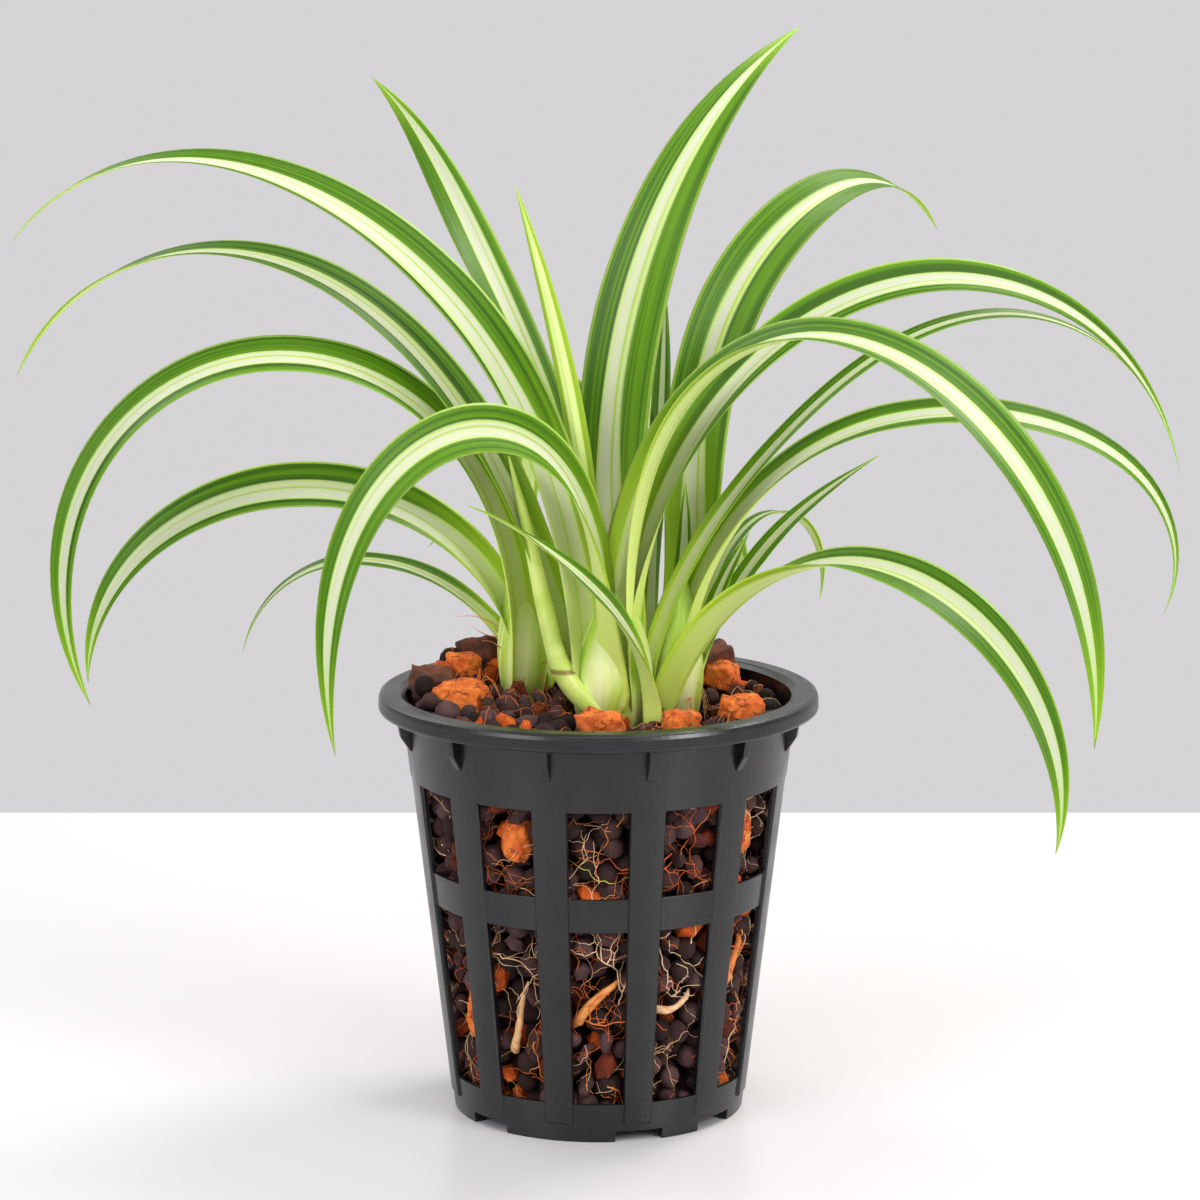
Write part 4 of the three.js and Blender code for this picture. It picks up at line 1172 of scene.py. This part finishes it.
def build_crown(name, crown, sheaths, first_turn, around=72):
    (cx, cy), (rx, ry), top = crown["at"], crown["size"], crown["top"]
    share_at, rise_at = (even_curve(values) for values in zip(*BULB))
    corners, across_sheath = [], []
    for i in range(BULB_RINGS + 1):
        s = i / BULB_RINGS
        for k in range(around):
            a = 2 * math.pi * k / around + math.radians(first_turn + BULB_TWIST * s)
            sheath = (k * sheaths / around) % 1.0
            overlap = 0.93 + 0.05 * math.sin(math.pi * sheath) ** 0.6 + 0.05 * sheath
            r = BULB_SHARE * share_at(s) * overlap
            z = top + rise_at(s) - BULB_SINK
            corners.append(Vector((cx + rx * r * math.cos(a), cy + ry * r * math.sin(a), z)) * MM)
            across_sheath.append(sheath)
    made = ringed("bulb_" + name, corners, around)
    store_on_points(made, "sheath", across_sheath)
    dress(made, crown_finish)
    seat(made, "crown", "crown_" + name)


for name, crown in CROWNS.items():
    build_crown(name, crown, *SHEATHS[name])

# %% [markdown]
# ### The round stem
# One leaf base stands apart from the bulb at the front: a round stem that bends out of the pebbles, with a
# brown ring where an old leaf has dropped off. It is a tube along a smooth curve through a few places, and
# it swells a little at the ring.

# %% The round stem at the front
# Places in millimetres, each with the stem's radius there.
STEM_PATH = [
    ((1, -15, 113), 3.0), ((-3, -15.5, 116.5), 3.0), ((-7, -15, 120.5), 2.9), ((-10, -14, 125.5), 2.9),
    ((-12, -12.5, 131), 2.6), ((-13.5, -10.5, 137), 2.5), ((-15.5, -7.5, 145), 2.3), ((-18, -4, 156), 1.9),
    ((-21, 0, 168), 1.3), ((-24.5, 4, 181), 0.3)]
STEM_RING = 125.0  # the height of the brown ring
stem_finish, tree, shader = principled("round green stem", Roughness=0.42)
look = mottle(tree, (182, 208, 84), (212, 226, 126), 7.0, 0.5, 0.3)
ring = ramp(abs(split(object_millimetres(tree))[2] - STEM_RING), 0.3, 1.0, 1.0, 0.0)
finish(shader, mixed(ring * 0.75, look["Color"], colour(112, 66, 28)), look["Height"], 0.3, 0.2)


def round_stem(name, path, around=20, steps=40):
    curves = [even_curve([p[axis] for p, _ in path]) for axis in range(3)]
    thick = even_curve([r for _, r in path])
    corners = []
    for i in range(steps + 1):
        s = i / steps
        at = Vector([c(s) for c in curves])
        ahead = Vector([c(min(s + 0.01, 1)) for c in curves]) - Vector([c(max(s - 0.01, 0)) for c in curves])
        turn = ahead.to_track_quat("Z", "Y").to_matrix()
        r = thick(s) * (1 + 0.12 * math.exp(-((at.z - STEM_RING) / 0.8) ** 2))
        for k in range(around):
            a = 2 * math.pi * k / around
            corners.append((at + turn @ Vector((r * math.cos(a), r * math.sin(a), 0))) * MM)
    return ringed(name, corners, around)


stem = round_stem("round_stem", STEM_PATH)
dress(stem, stem_finish)
seat(stem, "crown")

# %% [markdown]
# ## Roots
# Two sizes of root show in the slots and on the top: a few thick tan ones, and a web of fine fibres, pale,
# orange or yellow-green, that branch and cling to the pebbles. A path is a chain of places with a radius
# at each, and one tree turns any set of paths into rounded strands.

# %% The strands' tree and finish
STRANDS, inp, out = geometry_tree("Strands", {"Sides": 5, "Knots": 0.0})
ring = add(STRANDS, "GeometryNodeCurvePrimitiveCircle", {"Resolution": inp["Sides"], "Radius": 1.0})
tube = then(then(inp["Geometry"], "MeshToCurve"), "CurveToMesh", {
    "Profile Curve": ring, "Scale": named(STRANDS, "thick"), "Fill Caps": True})
end_tree(then(lumpy(tube, 0.5, 2.0, inp["Knots"]), "SetShadeSmooth"), inp, out)

ROOT_TONES = [(0.0, (240, 212, 172)), (0.3, (226, 156, 82)), (0.5, (226, 118, 38)), (0.75, (212, 84, 22)),
              (0.85, (214, 196, 80)), (1.0, (204, 206, 76))]
root_finish, tree, shader = principled("root skin", Roughness=0.62)
look = mottle(tree, (170, 160, 150), (255, 255, 255), 2.0, 0.4, 0.6)
finish(shader, mixed(0.5, toned(tree, ROOT_TONES), look["Color"], "MULTIPLY"), look["Height"], 0.4, 0.15)


def strands(name, paths, sides, knots=0.0):
    """Each path is a tone and a list of (place, radius) in millimetres."""
    corners, edges, thick, tones = [], [], [], []
    for tone, path in paths:
        first = len(corners)
        corners += [place * MM for place, _ in path]
        thick += [radius * MM for _, radius in path]
        tones += [tone] * len(path)
        edges += [(first + i, first + i + 1) for i in range(len(path) - 1)]
    piece = mesh_object(name, corners, edges=edges)
    store_on_points(piece, "thick", thick)
    store_on_points(piece, "tone", tones)
    return run_tree(piece, STRANDS, {"Sides": sides, "Knots": knots * MM, "Material": root_finish})

# %% [markdown]
# ### Thick roots
# Five tan roots, as thick as a pencil's lead, press against the wall behind the slots. Each bows up in its
# middle, sinks into the pebbles at both ends and thins out along its way.

# %% The thick roots
THICK_ROOTS = {
    # from and to are a turn from the front in degrees and a height; bow is how far the middle rises, and
    # then come the radius and the tone
    "front": ((-9, 33), (7.5, 45), 1.5, 1.4, 0.36),
    "front_left": ((-36, 23), (-29, 42), -3, 1.2, 0.2),
    "front_right": ((21, 37), (37, 40), -2, 1.1, 0.12),
    "right": ((55, 38), (66, 52), 2, 1.3, 0.45),
    "back": ((175, 28), (196, 46), 3, 1.4, 0.3),
}
BEHIND_WALL = 0.7
END_SINK, THICK_START, THINNING = 1.5, 1.15, 0.6
for name, (start, end, bow, radius, tone) in THICK_ROOTS.items():
    path, steps = [], 18
    for i in range(steps + 1):
        s = -0.06 + 1.12 * i / steps
        turn = start[0] + (end[0] - start[0]) * s
        z = start[1] + (end[1] - start[1]) * s + bow * math.sin(math.pi * s)
        r = inside_radius(z - radius) - BEHIND_WALL - radius - END_SINK * (2 * abs(s - 0.5)) ** 4
        ends = min(1.0, 0.4 + 5 * min(i, steps - i) / steps)
        path.append((polar(r, turn, z) / MM, radius * (THICK_START - THINNING * s) * ends))
    seat(strands("thick_root_" + name, [(tone, path)], 12, 1.0), "root", "root_" + name)

# %% [markdown]
# ### Fine fibres
# The fibres wander over the pebbles, so each step looks from outside for the pebble under it and lies just
# on it, or hangs between two pebbles where there is a gap. The side and the top of the filling are walked
# in the same way: only where a step looks from, and how its place is counted, differ.

# %% Where a fibre lies on the filling
random.seed(7)
noise.seed_set(7)
graph = bpy.context.evaluated_depsgraph_get()
FILLING = [BVHTree.FromObject(o, graph) for o in (pebbles, behind, kept_clear)]
WALL_GAP, EDGE_GAP = 0.45, 1.2
LOOK_FROM, LOOK_IN = 0.4, 4.0
LOOK_ABOVE, LOOK_DOWN = 9, 16
LIFT_SIDE, LIFT_TOP = 0.15, 0.2  # how far a fibre lies off the pebble under it
LOWEST_FIBRE, HIGHEST_FIBRE = 9.0, 108.0


def first_hit(start, towards, reach):
    """How far the nearest pebble or chunk lies from start, in millimetres."""
    found = [tree_.ray_cast(start * MM, towards, reach * MM)[3] for tree_ in FILLING]
    return min((f / MM for f in found if f is not None), default=reach)


def ground(x, y):
    """The height of the filling's top here."""
    level = fill_level(x, y) + LOOK_ABOVE
    return level - first_hit(Vector((x, y, level)), Vector((0, 0, -1)), LOOK_DOWN)


def on_side(turn, z):
    """The same place, kept between the pot's floor and its band, and the radius at which a fibre lies."""
    z = min(max(z, LOWEST_FIBRE), HIGHEST_FIBRE)
    limit = inside_radius(z) - WALL_GAP
    start = polar(limit + LOOK_FROM, turn, z) / MM
    depth = first_hit(start, Vector((-start.x, -start.y, 0)).normalized(), LOOK_IN)
    return turn, z, min(limit, limit + LOOK_FROM - depth + LIFT_SIDE)


def on_top(x, y):
    """The same place and the height at which a fibre lies, or None at the pot's wall."""
    if math.hypot(x, y) > inside_radius(FILL_LEVEL) - EDGE_GAP:
        return None
    return x, y, ground(x, y) + LIFT_TOP

# %% Let the fibres wander
FIBRE_STEP, FIBRE_THINNING = 1.5, 0.6
TURN_AT_STEP, TURN_BACK = 42, 0.5
BRANCH_CHANCE, BRANCH_TURN, MOST_BRANCHES = 0.13, 55, 2
BRANCH_LENGTH, BRANCH_RADIUS = 0.5, 0.75  # as shares of what it grows from
DEGREES_PER_MM = 57.3 / 47  # round the wall, 47 mm from the axis
side_paths, top_paths = [], []
# How a place is looked up and turned into a vector, what a millimetre counts, and where the paths are kept.
SIDE = (on_side, lambda turn, z, radius: polar(radius, turn, z) / MM, DEGREES_PER_MM, side_paths)
TOP = (on_top, lambda x, y, z: Vector((x, y, z)), 1.0, top_paths)


def wander(surface, u, v, heading, length, radius, tone, depth=0):
    """A fibre that wanders over the filling, thins out along its way and may branch."""
    look_up, place, unit, kept = surface
    path, home = [], heading
    for i in range(max(3, int(length / FIBRE_STEP))):
        found = look_up(u, v)
        if not found:
            break
        u, v, level = found
        path.append((u, v, level, radius * (1.0 - FIBRE_THINNING * i * FIBRE_STEP / length)))
        heading += TURN_BACK * (home - heading) + random.uniform(-TURN_AT_STEP, TURN_AT_STEP)
        u += FIBRE_STEP * math.cos(math.radians(heading)) * unit
        v += FIBRE_STEP * math.sin(math.radians(heading))
        if depth < MOST_BRANCHES and random.random() < BRANCH_CHANCE:
            wander(surface, u, v, heading + random.choice((-BRANCH_TURN, BRANCH_TURN)),
                   length * BRANCH_LENGTH, radius * BRANCH_RADIUS, tone, depth + 1)
    if len(path) > 2:
        levels = [p[2] for p in path]
        beside = [levels[max(i - 1, 0):i + 2] for i in range(len(levels))]
        eased = [max(level, sum(near) / len(near)) for level, near in zip(levels, beside)]
        kept.append((tone, [(place(p[0], p[1], level), p[3]) for p, level in zip(path, eased)]))


def fibre_tone():
    """Pale, orange or, now and then, yellow-green."""
    pale, orange, green = random.uniform(0.0, 0.25), random.uniform(0.4, 0.78), random.uniform(0.85, 1.0)
    return random.choices((pale, orange, green), (10, 11, 0.7))[0]


SIDE_FIBRES, TOP_FIBRES = 15, 64  # in each column of slots, and over the top
LOW_SHARE, TOP_REACH = 0.66, 49
for column in range(COLUMNS):
    for _ in range(SIDE_FIBRES):
        low = random.random() < LOW_SHARE
        z = random.uniform(*(LOWER_SLOT if low else UPPER_SLOT))
        wander(SIDE, SLOT_CENTRES[column] + random.uniform(-12, 12), z, random.uniform(0, 360),
               random.uniform(12, 42), random.choice((0.11, 0.13, 0.16, 0.24)), fibre_tone())
for _ in range(TOP_FIBRES):
    r, a = TOP_REACH * math.sqrt(random.random()), random.uniform(0, 2 * math.pi)
    wander(TOP, r * math.cos(a), r * math.sin(a), random.uniform(0, 360), random.uniform(10, 34),
           random.uniform(0.1, 0.17), fibre_tone())

# %% [markdown]
# ### Root hairs and dry threads
# Some root tips stand up out of the pebbles in stiff little bows, and a few dry threads of an old leaf hang
# off the left crown's foot. Both are single paths, so they join the fibres of the top.

# %% Root hairs and dry threads
ROOT_HAIRS = 34
THREAD_RADIUS, THREAD_TONE = 0.2, 0.36


def curl(x, y, heading, span, rise, radius, tone, steps=12):
    """A stiff root hair that stands up out of the pebbles in a bow."""
    along = Vector((math.cos(math.radians(heading)), math.sin(math.radians(heading)), 0))
    level = ground(x, y)
    path = []
    for i in range(steps + 1):
        s = i / steps
        sway = noise.noise_vector(Vector((x * 3.1, y * 1.7, s * 2.5))) * 1.6
        bow = 1.6 * rise * math.sin(math.pi * s ** 0.8) - 1.5 * (1 - s)
        path.append((Vector((x, y, level + bow)) + along * span * s + sway, radius * (1 - 0.7 * s)))
    top_paths.append((tone, path))


def dry_thread(start, end, rise, steps=10):
    path = []
    for i in range(steps + 1):
        bow = Vector((0, 0, rise * math.sin(math.pi * i / steps)))
        radius = THREAD_RADIUS * (1 - 0.75 * i / steps)
        path.append((Vector(start).lerp(Vector(end), i / steps) + bow, radius))
    top_paths.append((THREAD_TONE, path))


for _ in range(ROOT_HAIRS):
    r, a = random.uniform(20, 46), random.uniform(0, 2 * math.pi)
    curl(r * math.cos(a), r * math.sin(a), random.uniform(0, 360), random.uniform(4, 11),
         random.uniform(1, 4), random.uniform(0.12, 0.2), random.uniform(0.45, 0.76))
dry_thread((-28, 9, 133), (-39, 6, 136), 1.2)
dry_thread((-28, 8, 130), (-35, 4, 134), -0.8)
dry_thread((-27, 7, 127), (-32, 2, 130), 0.8)
side_web = strands("fibre_web_side", side_paths, 4)
top_web = strands("fibre_web_top", top_paths, 5)
seat(side_web, "root")
seat(top_web, "root")
print("fibres:", len(side_paths), len(top_paths), "triangles:", triangles(side_web), triangles(top_web))
bpy.data.objects.remove(kept_clear)
